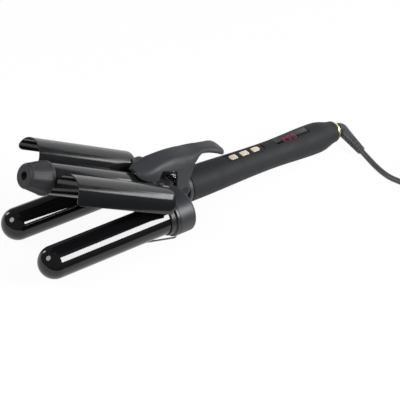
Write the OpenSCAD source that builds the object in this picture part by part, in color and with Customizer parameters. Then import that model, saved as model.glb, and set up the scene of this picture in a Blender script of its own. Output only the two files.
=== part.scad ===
// Three-barrel hair crimper: two fixed lower barrels on a yoke, a sprung upper jaw that holds
// a centre barrel and two half-round wings, a moulded handle with keys and a display, a folding
// wire stand and a swivelling mains lead.
// The barrels lie along X with the cool tip towards -X, the jaw pivots about Y and Z is up.
// All sizes are in mm. The jaw is drawn open, as the tool lies when it is put down.

/* [Barrels] */
// Diameter of each lower barrel
barrel_d = 32; // [26:0.5:36]
// Wall thickness of the barrel tubes
barrel_wall = 1.6; // [1:0.1:3]
// Distance between the lower barrel axes
barrel_pitch = 66; // [62:0.5:74]
// Length of a lower barrel in front of the yoke, dome included
barrel_reach = 146.5; // [120:0.5:160]
// Length of barrel held inside the yoke
barrel_seat = 13; // [8:0.5:14]
// Largest diameter of the heat collar at the yoke
collar_d = 41; // [38:0.5:41.5]
// Length of the heat collar
collar_length = 9; // [6:0.5:10]

/* [Upper jaw] */
// Diameter of the centre barrel
centre_d = 30; // [24:0.5:30]
// Height of the centre barrel axis above the lower barrel axes, jaw closed
centre_drop = -4; // [-6:0.5:0]
// Gap between a closed wing and its lower barrel
wing_gap = 0.6; // [0.4:0.1:1.5]
// Thickness of the wing shells
wing_wall = 1.1; // [0.8:0.1:2]
// Angle from the top of a wing to each rim
wing_angle = 97; // [80:1:100]
// Corner radius at the lower ends of the wings
wing_corner = 6; // [2:0.5:12]
// Distance from the yoke face to the front ends of wings and centre barrel
jaw_reach = 133.5; // [110:0.5:145]
// Length of the cool tip
tip_length = 24; // [16:0.5:32]
// Largest diameter of the cool tip
tip_d = 32.6; // [31:0.1:36]
// Diameter of the cool tip's front face
tip_face_d = 19.8; // [16:0.1:24]
// Diameter of the screw recess in the cool tip
tip_recess_d = 8; // [6:0.5:10]
// Number of shallow flutes around the cool tip
tip_flutes = 10; // [6:1:16]
// Distance from the yoke face to the front of the jaw bridge
bridge_reach = 16; // [14.5:0.5:18]
// Length of the part of the bridge that holds the wings
bridge_wing_seat = 6; // [4:0.5:6]
// Distance from the yoke face to the back of the jaw bridge
bridge_back = 6; // [4:0.5:8]
// Angle from the top of a wing to where the bridge starts to hold it
wing_hold = 30; // [20:1:45]

/* [Jaw pivot and lever] */
// Distance of the pivot behind the yoke face
pivot_x = 29.6; // [27:0.1:31]
// Height of the pivot above the lower barrel axes
pivot_z = 7.8; // [6:0.1:9]
// Diameter of the pivot pin
pin_d = 6; // [4:0.1:7]
// Radial running clearance on the pivot pin
pin_clearance = 0.05; // [0.02:0.01:0.1]
// Angle of the jaw above its closed position
open_angle = 27; // [0:0.5:33]
// Wall thickness of the moulded lever
lever_wall = 2.4; // [1.6:0.1:3]
// Thickness of the two cheek plates of the lever
cheek_wall = 3.3; // [2.4:0.1:4]
// Side play between a cheek and the yoke's ear
cheek_play = 0.3; // [0.15:0.05:0.6]

/* [Yoke] */
// Depth of the yoke block along the barrels
yoke_depth = 18.5; // [16:0.5:20]
// Wall around the barrel seats
yoke_wall = 4.75; // [4.2:0.05:6]
// Radius of the yoke's rear edges
yoke_round = 3; // [1:0.5:4]
// Width across the two ears that carry the pivot
ear_width = 27.6; // [24:0.2:28]
// Width of the slot between the ears
ear_slot = 17; // [15.6:0.2:18]

/* [Clamp spring] */
// Diameter of the spring wire
spring_wire = 1.8; // [1.2:0.1:2]
// Mean diameter of the spring coils
spring_d = 12.6; // [12:0.1:14]
// Number of spring coils
spring_turns = 5; // [3:1:5]

/* [Handle] */
// Distance of the handle's front edge behind the yoke face
handle_x = 43; // [41:0.5:48]
// Height of the handle axis above the lower barrel axes at the front
handle_z = -2; // [-4:0.5:0]
// Downward slope of the handle axis
handle_slope = 1.5; // [0:0.1:3]
// Length of the handle shells
handle_length = 203.5; // [190:0.5:220]
// Distance of the waist from the front edge
waist_at = 108; // [90:1:110]
// Distance of the rear bulge from the front edge
bulge_at = 174; // [168:1:176]
// Handle diameter at the front
front_d = 35; // [33:0.2:36]
// Handle diameter at the waist
waist_d = 30; // [29.6:0.2:31]
// Handle diameter at the rear bulge
bulge_d = 33.8; // [32:0.2:36]
// Handle diameter at the rear end
tail_d = 19.6; // [19:0.2:21]
// Wall thickness of the handle shells
shell_wall = 2.2; // [1.8:0.1:2.6]
// Length of the front ring between yoke and shells
ring_length = 5; // [3:0.5:5]
// Length of the yoke's spigot inside the shells
spigot_length = 9; // [6:0.5:12]
// Diameter of the yoke's spigot
spigot_d = 27; // [22:0.5:28]
// Diameter of the rear end ring
end_ring_d = 18.6; // [17:0.2:19.4]
// Length of the rear end ring outside the shells
end_ring_length = 4; // [3:0.5:6]
// Diameter of the two case screws' shanks
case_screw_d = 2.8; // [2:0.1:3]

/* [Keys and display] */
// Length of a key
key_length = 9.4; // [9:0.2:12]
// Width of a key
key_width = 6.6; // [6:0.2:8]
// Distance between the keys
key_pitch = 15; // [14.6:0.1:16]
// Distance of the first key behind the handle's front edge
key_at = 61; // [58:0.5:64]
// Travel of a key
key_travel = 0.4; // [0.2:0.05:0.4]
// Height of the key panel above the handle axis
panel_z = 14.1; // [13.9:0.1:14.4]
// Width of the key panel
panel_width = 12.6; // [12:0.2:13]
// Length of the key panel
panel_length = 52; // [50:0.5:54]
// Length of the display window
window_length = 45; // [36:0.5:46]
// Width of the display window
window_width = 10; // [8:0.2:10]
// Distance of the display window's middle behind the handle's front edge
window_at = 140.5; // [138:0.5:142]
// Height of the display window's top above the handle axis
window_z = 15.3; // [15:0.1:15.5]
// Slope of the display window's top
window_slope = 2; // [0:0.5:3]

/* [Wire stand] */
// Diameter of the stand wire
stand_wire = 1.8; // [1.4:0.1:2]
// Radial running clearance of the stand wire in the yoke
stand_clearance = 0.05; // [0.02:0.01:0.1]
// Distance of the tips of the stand's two feet in front of the yoke face
stand_reach = 40; // [34:1:50]
// Distance of a foot's tip from the middle
stand_half = 28.6; // [27:0.1:30]
// Distance of the stand's cross bar in front of the yoke face
stand_bar = 8; // [7:0.5:12]
// Half the width of the stand's cross bar
stand_bar_half = 21; // [18:0.5:23]
// Distance of the stand hinge behind the yoke face
stand_x = 3; // [2.5:0.5:4]

/* [Mains lead] */
// Diameter of the lead
cord_d = 6.2; // [5.4:0.1:6.4]
// Diameter of the swivel stem
stem_d = 12; // [10:0.1:12.6]
// Radial running clearance of the swivel stem
stem_clearance = 0.05; // [0.02:0.01:0.1]
// Gap between the end ring and the moulded elbow
elbow_gap = 5; // [3:0.5:6]
// Diameter of the plug's contact pins
plug_pin_d = 4; // [4:0.05:4.1]
// Distance between the plug's contact pins
plug_pitch = 18.6; // [17.5:0.1:19]
// Width of the plug body
plug_width = 35.3; // [33:0.1:36]
// Thickness of the plug body
plug_thick = 13.7; // [12.5:0.1:14]
// Length of the plug body
plug_length = 36; // [30:0.5:40]

/* [Hidden] */
$fa = 6;
$fs = 0.6;

// Clearances
fit = 0.05;     // pieces that are pushed together in one body
slip = 0.15;    // keys in their panel
over = 1;       // how far a cutting solid runs past the face that it opens

// Colours
black_gloss = [0.08, 0.08, 0.09];
soft_black = [0.26, 0.27, 0.28];
lever_grey = [0.30, 0.31, 0.33];
gold = [0.85, 0.76, 0.55];
cream = [0.95, 0.88, 0.76];
metal = [0.72, 0.72, 0.74];
board_green = [0.10, 0.32, 0.18];
window_grey = [0.40, 0.42, 0.42];

// Barrels and yoke
barrel_r = barrel_d / 2;
barrel_y = barrel_pitch / 2;
dome_x = -(barrel_reach - barrel_r);
seat_r = barrel_r + fit;
yoke_r = seat_r + yoke_wall;
ear_y = ear_width / 2;
slot_y = ear_slot / 2;
pin_r = pin_d / 2;
pin_head_r = pin_r + 1.5;
bush_r = spring_d / 2 - spring_wire / 2 - 0.5;
stand_r = stand_wire / 2;
stand_z = -(seat_r + stand_r + stand_clearance + 0.5);
stand_y = barrel_y + 9;
stand_inner_y = barrel_y + 1;

// Jaw
wing_in = barrel_r + wing_gap;
wing_out = wing_in + wing_wall;
wing_back = bridge_reach - bridge_wing_seat + 0.5;
centre_r = centre_d / 2;
centre_in = centre_r - barrel_wall;
barrel_back = bridge_reach - 4;
bridge_top = 21;
boss_x = -(bridge_back + bridge_reach) / 2;
boss_y = 5;
cheek_in = ear_y + cheek_play;
cheek_out = cheek_in + cheek_wall;
cheek_boss_r = pin_r + 4.5;

// Handle
function ease(t) = (1 - cos(180 * min(max(t, 0), 1))) / 2;
function tail_fall(t) = cos(90 * pow(min(max(t, 0), 1), 1.4));
function handle_r(u) =
    u <= waist_at ? (front_d + (waist_d - front_d) * ease(u / waist_at)) / 2 :
    u <= bulge_at ? (waist_d + (bulge_d - waist_d) * ease((u - waist_at) / (bulge_at - waist_at))) / 2 :
    (tail_d + (bulge_d - tail_d) * tail_fall((u - bulge_at) / (handle_length - bulge_at))) / 2;
stations = concat([for (i = [0:8]) waist_at * i / 8],
                  [for (i = [1:6]) waist_at + (bulge_at - waist_at) * i / 6],
                  [for (i = [1:9]) bulge_at + (handle_length - bulge_at) * i / 9]);
rest_height = max([for (u = stations) u * sin(handle_slope) + handle_r(u) * cos(handle_slope)])
              - handle_z;
handle_end_x = handle_x + (handle_length + end_ring_length) * cos(handle_slope)
               + end_ring_d / 2 * sin(handle_slope);
middle_x = (handle_end_x - barrel_reach) / 2;
stem_r = stem_d / 2;
stem_hole_r = stem_r + stem_clearance;
end_bore_r = tail_d / 2 - shell_wall;
spigot_r = spigot_d / 2;
panel_wall = 1.2;
board_z = 8.4;
board_wall = 1.6;
switch_height = 2;
case_screw_at = [34, handle_length - 19.5];
case_seat_z = -7;

module placed() {
    translate([-middle_x, 0, rest_height]) children();
}

module in_handle() {
    placed() translate([handle_x, 0, handle_z]) rotate([0, handle_slope, 0]) children();
}

module in_jaw() {
    placed() translate([pivot_x, 0, pivot_z]) rotate([0, open_angle, 0])
        translate([-pivot_x, 0, -pivot_z]) children();
}

module rod_x(x0, x1, r) {
    translate([x0, 0, 0]) rotate([0, 90, 0]) cylinder(h = x1 - x0, r = r, $fn = 64);
}

module rod_y(y0, y1, r) {
    translate([0, y0, 0]) rotate([-90, 0, 0]) cylinder(h = y1 - y0, r = r, $fn = 48);
}

module rod_z(z0, z1, r) {
    translate([0, 0, z0]) cylinder(h = z1 - z0, r = r, $fn = 32);
}

module spin_x() {
    rotate([0, 90, 0]) rotate_extrude($fn = 64) children();
}

// A flat plate from y0 to y1, drawn in X and Z
module plate_y(y0, y1) {
    translate([0, y1, 0]) rotate([90, 0, 0]) linear_extrude(height = y1 - y0) children();
}

// A flat plate from x0 to x1, drawn in Y and Z
module plate_x(x0, x1) {
    translate([x0, 0, 0]) rotate([90, 0, 90]) linear_extrude(height = x1 - x0) children();
}

module both_sides() {
    children();
    mirror([0, 1, 0]) children();
}

module round_rect(l, w, r) {
    square([l - 2 * r, w], center = true);
    square([l, w - 2 * r], center = true);
    for (sx = [-1, 1], sy = [-1, 1]) {
        translate([sx * (l / 2 - r), sy * (w / 2 - r)]) circle(r = r, $fn = 32);
    }
}

// A tube swept along a list of points, with an n-sided section of radius r
function unit(v) = v / norm(v);
function heading(p, i) =
    i == 0 ? unit(p[1] - p[0]) :
    i == len(p) - 1 ? unit(p[i] - p[i - 1]) :
    unit(unit(p[i + 1] - p[i]) + unit(p[i] - p[i - 1]));
function carried(p, i, n) = let (d = heading(p, i)) unit(n - d * (n * d));
function normals(p, i = 0, n = undef, out = []) =
    i == len(p) ? out :
    let (m = i == 0 ? unit(cross(heading(p, 0), abs(heading(p, 0)[2]) < 0.9 ? [0, 0, 1] : [0, 1, 0]))
                    : carried(p, i, n))
    normals(p, i + 1, m, concat(out, [m]));

module tube(p, r, sides) {
    m = normals(p);
    rings = [for (i = [0:len(p) - 1]) for (k = [0:sides - 1])
        let (d = heading(p, i), b = cross(d, m[i]), a = 360 * (k + 0.5) / sides)
        p[i] + r * (m[i] * cos(a) + b * sin(a))];
    last = (len(p) - 1) * sides;
    polyhedron(points = rings, convexity = 8, faces = concat(
        [[for (k = [0:sides - 1]) k]],
        [[for (k = [sides - 1:-1:0]) last + k]],
        [for (i = [0:len(p) - 2]) for (k = [0:sides - 1])
            [i * sides + k, (i + 1) * sides + k, i * sides + (k + 1) % sides]],
        [for (i = [0:len(p) - 2]) for (k = [0:sides - 1])
            [i * sides + (k + 1) % sides, (i + 1) * sides + k, (i + 1) * sides + (k + 1) % sides]]));
}

// ---------------------------------------------------------------- yoke and barrels

module yoke_block() {
    both_sides() translate([0, barrel_y, 0]) spin_x() {
        square([yoke_r, yoke_depth - yoke_round]);
        square([yoke_r - yoke_round, yoke_depth]);
        translate([yoke_r - yoke_round, yoke_depth - yoke_round]) circle(r = yoke_round, $fn = 32);
    }
    plate_y(-barrel_y, barrel_y) {
        translate([0, -yoke_r]) square([yoke_depth - yoke_round, 2 * yoke_r]);
        translate([0, yoke_round - yoke_r]) square([yoke_depth, 2 * (yoke_r - yoke_round)]);
        for (s = [-1, 1]) {
            translate([yoke_depth - yoke_round, s * (yoke_r - yoke_round)]) circle(r = yoke_round, $fn = 32);
        }
    }
}

module yoke() {
    ear_end = handle_x - ring_length - 0.7;
    slot_end = pivot_x + (spring_d + spring_wire) / 2 + 0.7;
    color(soft_black) placed() difference() {
        union() {
            yoke_block();
            plate_y(-ear_y, ear_y) {
                translate([pivot_x, pivot_z]) circle(r = pin_r + 4.2, $fn = 48);
                translate([yoke_depth - 1, -15]) square([ear_end - yoke_depth + 1, 15 + pivot_z]);
            }
            translate([handle_x, 0, handle_z]) rotate([0, handle_slope, 0])
                rod_x(-ring_length - 4, spigot_length, spigot_r);
        }
        both_sides() translate([0, barrel_y, 0]) rod_x(-over, barrel_seat, seat_r);
        both_sides() translate([0, barrel_y, 0]) rod_x(0, yoke_depth + over, 4);
        translate([pivot_x, 0, pivot_z]) rod_y(-ear_y - over, ear_y + over, pin_r + 0.02);
        plate_y(-slot_y, slot_y) {
            translate([yoke_depth - 1.5, -6]) square([slot_end - yoke_depth + 1.5, 60]);
        }
        both_sides() plate_y(ear_y - 0.1, cheek_out + 0.9) {
            translate([9.5, 9]) square([yoke_depth, 30]);
        }
        translate([0, 0, 0]) rod_x(yoke_depth, handle_x + spigot_length + over, 4);
        both_sides() translate([stand_x, 0, stand_z]) {
            rod_y(stand_inner_y - 0.5, stand_y, stand_r + stand_clearance);
            translate([-stand_r - 0.3, stand_y - stand_r - 1.2, -20])
                cube([12, 2 * stand_r + 1.8, 20 + stand_r + 0.3]);
        }
    }
}

module barrel() {
    difference() {
        union() {
            rod_x(dome_x, barrel_seat, barrel_r);
            translate([dome_x, 0, 0]) sphere(r = barrel_r, $fn = 64);
        }
        rod_x(dome_x, barrel_seat + over, barrel_r - barrel_wall);
        translate([dome_x, 0, 0]) sphere(r = barrel_r - barrel_wall, $fn = 64);
    }
}

module barrel_near() {
    color(black_gloss) placed() translate([0, -barrel_y, 0]) barrel();
}

module barrel_far() {
    color(black_gloss) placed() translate([0, barrel_y, 0]) barrel();
}

module barrel_collars() {
    r = collar_d / 2;
    color(soft_black) placed() both_sides() translate([0, barrel_y, 0]) spin_x()
        polygon([[seat_r, -collar_length], [seat_r + 1.25, -collar_length],
                 [seat_r + 1.75, 0.6 - collar_length], [seat_r + 2.15, -3.5],
                 [r - 0.5, -3.5], [r, -3], [r, 0], [seat_r, 0]]);
}

// Aluminium spreader: a liner with a flat pocket across it for the heating plate
module heater(x0, x1, r) {
    difference() {
        union() {
            difference() {
                rod_x(x0, x1, r);
                rod_x(x0 - over, x1 + over, r - 1.4);
            }
            intersection() {
                rod_x(x0, x1, r - 0.5);
                translate([x0, -r, -2.6]) cube([x1 - x0, 2 * r, 5.2]);
            }
        }
        translate([x0 + 14, -r * 0.6, -1.3]) cube([x1 - x0, r * 1.2, 2.6]);
    }
}

module barrel_heaters() {
    color(metal) placed() both_sides() translate([0, barrel_y, 0])
        heater(dome_x + 4, -12, barrel_r - barrel_wall - fit);
}

module pivot_pin() {
    color(metal) placed() translate([pivot_x, 0, pivot_z]) {
        rod_y(-cheek_out + 0.5, cheek_out - 0.5, pin_r);
        both_sides() rod_y(cheek_out - 0.95, cheek_out - 0.1, pin_head_r);
    }
}

module spring_bush() {
    color(soft_black) placed() translate([pivot_x, 0, pivot_z]) difference() {
        rod_y(-slot_y + fit, slot_y - fit, bush_r);
        rod_y(-slot_y, slot_y, pin_r + 0.02);
    }
}

module clamp_spring() {
    r = spring_d / 2;
    pitch = (ear_slot - 1.6 - spring_wire) / (spring_turns + 0.25);
    y0 = -pitch * (spring_turns + 0.25) / 2;
    coil = [for (i = [0:spring_turns * 8 + 2])
        [r * sin(45 * i), y0 + pitch * i / 8, -r * cos(45 * i)]];
    first = coil[0];
    last = coil[len(coil) - 1];
    leg_low = [for (x = [-9, -6, -3]) first + [x, 0, 0.04 * x]];
    leg_high = [for (z = [3, 6, 10]) last + [-0.03 * z, 0, z]];
    color(metal) placed() translate([pivot_x, 0, pivot_z])
        tube(concat(leg_low, coil, leg_high), spring_wire / 2, 6);
}

// ---------------------------------------------------------------- handle

module handle_solid(inset) {
    spin_x() polygon(concat([[0, stations[0]]],
        [for (u = stations) [handle_r(u) - inset, u]],
        [[0, handle_length]]));
}

module shell_half(side) {
    difference() {
        handle_solid(0);
        difference() {
            handle_solid(shell_wall);
            rod_x(-over, spigot_length + 1, front_d);
        }
        rod_x(-over, spigot_length + 1 + over, spigot_r + fit);
        rod_x(handle_length - 10, handle_length + over, end_bore_r + fit);
        translate([-over, -bulge_d, side > 0 ? -2 * bulge_d : 0])
            cube([handle_length + 2 * over, 2 * bulge_d, 2 * bulge_d]);
    }
}

module panel_outline(grow) {
    round_rect(panel_length + 2 * grow, panel_width + 2 * grow, 4 + grow);
}

module panel_place(z) {
    translate([key_at + key_pitch, 0, z]) children();
}

module window_place() {
    translate([window_at, 0, window_z]) rotate([0, -window_slope, 0]) children();
}

module handle_upper() {
    seat = panel_z - panel_wall;
    color(soft_black) in_handle() difference() {
        union() {
            shell_half(1);
            for (u = case_screw_at) {
                translate([u, 0, 0]) rod_z(0, handle_r(u) - 1, 3.2);
            }
            for (u = [key_at - 11, window_at + window_length / 2 + 2.2], s = [-1, 1]) {
                translate([u, s * 5, 0]) rod_z(board_z, handle_r(u) - 1.6, 1.6);
            }
        }
        for (u = case_screw_at) {
            translate([u, 0, 0]) rod_z(-over, 7, case_screw_d / 2 + 0.02);
        }
        panel_place(seat) linear_extrude(height = 10) panel_outline(fit);
        panel_place(board_z + 0.5) linear_extrude(height = 10) panel_outline(-1.4);
        window_place() {
            translate([0, 0, -2]) linear_extrude(height = 10)
                round_rect(window_length + 2 * fit, window_width + 2 * fit, 1);
            translate([0, 0, -8]) linear_extrude(height = 10)
                round_rect(window_length - 2, window_width - 2, 0.6);
        }
    }
}

module handle_lower() {
    color(soft_black) in_handle() difference() {
        union() {
            shell_half(-1);
            for (u = case_screw_at) {
                translate([u, 0, 0]) rod_z(1 - handle_r(u), 0, 4.6);
            }
        }
        for (u = case_screw_at) {
            translate([u, 0, 0]) rod_z(-30, case_seat_z, 3);
            translate([u, 0, 0]) rod_z(-30, over, case_screw_d / 2 + 0.1);
        }
    }
}

module case_screws() {
    color(metal) in_handle() for (u = case_screw_at) {
        translate([u, 0, 0]) {
            rod_z(case_seat_z, 6.5, case_screw_d / 2);
            difference() {
                rod_z(case_seat_z - 2, case_seat_z, 2.8);
                translate([-1.8, -0.35, case_seat_z - 3]) cube([3.6, 0.7, 2]);
                translate([-0.35, -1.8, case_seat_z - 3]) cube([0.7, 3.6, 2]);
            }
        }
    }
}

module front_ring() {
    color(soft_black) in_handle() difference() {
        spin_x() polygon([[spigot_r + fit, -ring_length], [front_d / 2 - 1.2, -ring_length],
                          [front_d / 2 - 0.4, 0.8 - ring_length], [front_d / 2 - 0.4, -0.6],
                          [front_d / 2 - 0.9, -0.6], [front_d / 2 - 0.9, 0], [spigot_r + fit, 0]]);
    }
}

module end_ring() {
    r = end_ring_d / 2;
    color(gold) in_handle() spin_x()
        polygon([[stem_hole_r, handle_length - 6], [end_bore_r, handle_length - 6],
                 [end_bore_r, handle_length], [r - 0.4, handle_length], [r, handle_length + 0.5],
                 [r, handle_length + end_ring_length - 1],
                 [r - 1, handle_length + end_ring_length],
                 [stem_hole_r, handle_length + end_ring_length]]);
}

module control_panel() {
    color(black_gloss) in_handle() difference() {
        panel_place(panel_z - panel_wall) linear_extrude(height = panel_wall) panel_outline(0);
        for (i = [0:2]) {
            translate([key_at + i * key_pitch, 0, panel_z - panel_wall - over])
                linear_extrude(height = panel_wall + 2 * over) key_outline(i, slip);
        }
    }
}

module display_window() {
    color(window_grey) in_handle() window_place() translate([0, 0, -2])
        linear_extrude(height = 2) round_rect(window_length, window_width, 0.9);
}

module display_module() {
    color(black_gloss) in_handle()
        translate([window_at - window_length / 2 + 2.5, 1 - window_width / 2, board_z])
        cube([window_length - 5, window_width - 2, 3.8]);
}

module control_board() {
    u0 = key_at - 14;
    u1 = window_at + window_length / 2 + 4.5;
    color(board_green) in_handle() {
        translate([u0, -7, board_z - board_wall]) cube([u1 - u0, 14, board_wall]);
        for (i = [0:2]) {
            translate([key_at + i * key_pitch - 3, -3, board_z - 0.01]) cube([6, 6, switch_height + 0.01]);
        }
    }
}

// ---------------------------------------------------------------- keys

module key_outline(i, grow) {
    l = key_length / 2 + grow;
    w = key_width / 2 + grow;
    big = w - 0.3;
    small = 0.8;
    r_front = i == 0 ? big : small;
    r_back = i == 2 ? big : small;
    translate([-l + r_front, -w]) square([2 * l - r_front - r_back, 2 * w]);
    translate([-l, -w + r_front]) square([l, 2 * (w - r_front)]);
    translate([0, -w + r_back]) square([l, 2 * (w - r_back)]);
    for (s = [-1, 1]) {
        translate([-l + r_front, s * (w - r_front)]) circle(r = r_front, $fn = 32);
        translate([l - r_back, s * (w - r_back)]) circle(r = r_back, $fn = 32);
    }
}

module key(i) {
    flange_top = panel_z - panel_wall - fit;
    color(cream) in_handle() translate([key_at + i * key_pitch, 0, 0]) {
        translate([0, 0, flange_top - 0.01]) linear_extrude(height = panel_z + 0.8 - flange_top) key_outline(i, 0);
        translate([0, 0, flange_top - 0.9]) linear_extrude(height = 0.9) key_outline(i, 0.7);
        rod_z(board_z + switch_height + key_travel + 0.05, flange_top - 0.8, 1.6);
    }
}

module key_front() {
    key(0);
}

module key_middle() {
    key(1);
}

module key_rear() {
    key(2);
}

// ---------------------------------------------------------------- jaw

// Lever sections: place along X, crown height, half width, height of the widest place, lower edge
lever_rows = [
    [-31, 15.8, 6, 10.5, 12.2],
    [-29, 17.4, 9.4, 10, 11.4],
    [-25.5, 20.2, 12, 9.6, 10.9],
    [-20.5, 24, 14.2, 9.6, 11],
    [-15.5, 28, 15.6, 10, 11.8],
    [-10.5, 31.1, 16.8, 10.8, 13],
    [-8, 32.6, 17.1, 11, 24],
    [-2, 35.8, 17.6, 13, 25],
    [5, 39, 17.9, 15, 26.2],
    [12, 41.5, 17.9, 17.5, 28.7],
    [18, 43.3, 17.6, 20.5, 31.5],
    [23, 44.8, 16.8, 24, 34],
    [27, 46.3, 15, 28.5, 37],
    [31, 48.1, 12.3, 33.5, 40.5],
    [35, 50, 9.9, 38.5, 43.5],
    [40, 52.1, 8.5, 42.5, 46.1],
    [46, 54.1, 8.2, 44.8, 48],
    [52, 55.3, 9.2, 46, 49.3],
    [57, 55.7, 10.2, 46.8, 50.1],
    [61, 55.4, 10.4, 47, 50.2],
    [64.5, 54.5, 9, 47.2, 50.1],
    [66.8, 53.2, 6.5, 47.4, 49.9],
    [68, 52, 3.4, 47.8, 49.8]];
// How square the sections are: 1 for an ellipse, less for a squarer one
lever_square = 0.7;

function lever_arc(x, top, w, base, low) =
    let (start = asin(pow((low - base) / (top - base), 1 / lever_square)))
    [for (i = [0:14]) let (a = start + (180 - 2 * start) * i / 14)
        [x, w * sign(cos(a)) * pow(abs(cos(a)), lever_square),
         base + (top - base) * pow(sin(a), lever_square)]];
function lever_ring(row) =
    let (x = row[0], top = row[1], w = row[2], base = row[3], low = row[4],
         outer = lever_arc(x, top, w, base, low),
         inner = lever_arc(x, top - min(lever_wall, (top - low) * 0.7), w - min(lever_wall, w * 0.4),
                           base, low))
    concat(outer, [for (i = [14:-1:0]) inner[i]]);

module lever_shell() {
    n = 30;
    rows = len(lever_rows);
    last = (rows - 1) * n;
    polyhedron(convexity = 6,
        points = [for (row = lever_rows) for (p = lever_ring(row)) p],
        faces = concat(
            [for (i = [0:13]) each [[i, i + 1, 28 - i], [i, 28 - i, 29 - i]]],
            [for (i = [0:13]) each [[last + i + 1, last + i, last + 28 - i],
                                    [last + 28 - i, last + i, last + 29 - i]]],
            [for (r = [0:rows - 2]) for (k = [0:n - 1])
                let (a = r * n + k, b = r * n + (k + 1) % n)
                each [[a, a + n, b], [b, a + n, b + n]]]));
}

module cheek_outline() {
    polygon([[8, 31], [8, 27.3], [11, 20.8], [15, 13], [22.9, 4.6], [pivot_x, pivot_z], [36.2, 11.3],
             [31.2, 16.6], [29.3, 20], [28.8, 29], [27, 36.4], [22, 36.6], [15, 34.4]]);
    translate([pivot_x, pivot_z]) circle(r = cheek_boss_r, $fn = 48);
}

module lever() {
    color(lever_grey) in_jaw() difference() {
        union() {
            lever_shell();
            both_sides() plate_y(cheek_in, cheek_out) cheek_outline();
            both_sides() translate([boss_x, boss_y, 0]) rod_z(bridge_top, bridge_top + 7.6, 2.8);
        }
        translate([pivot_x, 0, pivot_z]) {
            rod_y(-cheek_out - over, cheek_out + over, pin_r + pin_clearance);
            both_sides() rod_y(cheek_out - 1, cheek_out + over, pin_head_r + 0.2);
        }
        both_sides() translate([boss_x, boss_y, 0]) rod_z(bridge_top - over, bridge_top + 6.2, 1.42);
    }
}

module jaw_bridge() {
    seat_r2 = wing_out + fit;
    centre_seat = centre_r + fit;
    reach = 2 * wing_out;
    color(soft_black) in_jaw() difference() {
        union() {
            plate_x(-bridge_reach, -bridge_reach + bridge_wing_seat) {
                for (s = [-1, 1]) {
                    translate([s * barrel_y, 0]) intersection() {
                        circle(r = seat_r2 + 1.5, $fn = 64);
                        polygon([[0, -2.1], [0, 0], [-s * reach * tan(wing_hold), reach],
                                 [-s * reach, reach], [-s * reach, -2.1]]);
                    }
                }
                translate([-barrel_y, -2.1]) square([2 * barrel_y, 11.9]);
            }
            plate_x(-bridge_reach, -bridge_back) {
                translate([0, centre_drop]) circle(r = centre_seat + 2.2, $fn = 64);
                translate([-boss_y - 4, centre_drop]) square([2 * boss_y + 8, bridge_top - centre_drop]);
            }
        }
        both_sides() translate([0, barrel_y, 0]) {
            rod_x(-bridge_reach - over, -bridge_reach + bridge_wing_seat + 0.01, seat_r2);
            rod_x(-bridge_reach + bridge_wing_seat, 0, collar_d / 2 + 0.4);
        }
        translate([0, 0, centre_drop]) {
            rod_x(-bridge_reach - over, -barrel_back, centre_seat);
            rod_x(-bridge_reach, 0, 4);
        }
        both_sides() translate([boss_x, boss_y, 0]) {
            rod_z(-40, bridge_top - 6, 3);
            rod_z(0, bridge_top + over, 1.5);
        }
    }
}

module lever_screws() {
    color(metal) in_jaw() both_sides() translate([boss_x, boss_y, 0]) {
        rod_z(bridge_top - 6, bridge_top + 6, 1.4);
        difference() {
            rod_z(bridge_top - 8, bridge_top - 6, 2.7);
            translate([-1.7, -0.35, bridge_top - 9]) cube([3.4, 0.7, 2]);
        }
    }
}

module wing() {
    edge = wing_out * 3;
    low = -wing_out * sin(wing_angle - 90);
    a = wing_angle;
    intersection() {
        plate_x(-jaw_reach, -wing_back) difference() {
            circle(r = wing_out, $fn = 96);
            circle(r = wing_in, $fn = 96);
            polygon([[0, 0], [edge * sin(a), edge * cos(a)], [edge, -edge], [-edge, -edge],
                     [-edge * sin(a), edge * cos(a)]]);
        }
        plate_y(-wing_out - over, wing_out + over) {
            translate([wing_corner - jaw_reach, low]) square([jaw_reach, wing_corner]);
            translate([-jaw_reach, low + wing_corner]) square([jaw_reach, 2 * wing_out]);
            translate([wing_corner - jaw_reach, low + wing_corner]) circle(r = wing_corner, $fn = 48);
        }
    }
}

module wing_near() {
    color(black_gloss) in_jaw() translate([0, -barrel_y, 0]) wing();
}

module wing_far() {
    color(black_gloss) in_jaw() translate([0, barrel_y, 0]) wing();
}

module centre_barrel() {
    color(black_gloss) in_jaw() translate([0, 0, centre_drop]) difference() {
        rod_x(-jaw_reach, -barrel_back, centre_r);
        rod_x(-jaw_reach - over, -barrel_back + over, centre_in);
    }
}

module centre_heater() {
    color(metal) in_jaw() translate([0, 0, centre_drop]) difference() {
        union() {
            heater(8 - jaw_reach, -barrel_back - 6, centre_in - fit);
            rod_x(8 - jaw_reach, 20 - jaw_reach, 4);
        }
        rod_x(-jaw_reach, 18 - jaw_reach, 1.52);
    }
}

module cool_tip() {
    r = tip_d / 2;
    face = tip_face_d / 2;
    nose = 2.4;
    taper = face + nose + 0.12;
    depth = 0.7;
    groove_r = 5;
    lean = atan2(r - taper, tip_length - 8);
    color(soft_black) in_jaw() translate([-jaw_reach, 0, centre_drop]) difference() {
        union() {
            spin_x() {
                polygon([[0, 0], [r - 0.5, 0], [r, -0.5], [r, -3], [taper, 5 - tip_length],
                         [face + nose * 0.72, 1.6 - tip_length], [face, -tip_length], [0, -tip_length]]);
            }
            rod_x(-over, 7, centre_in - fit);
        }
        rod_x(-tip_length - over, -tip_length + 9, tip_recess_d / 2);
        rod_x(-tip_length, 8, 1.6);
        for (i = [0:tip_flutes - 1]) {
            rotate([360 * (i + 0.5) / tip_flutes, 0, 0])
                translate([-4.5, 0, r + groove_r - depth + 0.3]) rotate([0, lean, 0])
                rod_x(-tip_length, 0, groove_r);
        }
    }
}

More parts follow.
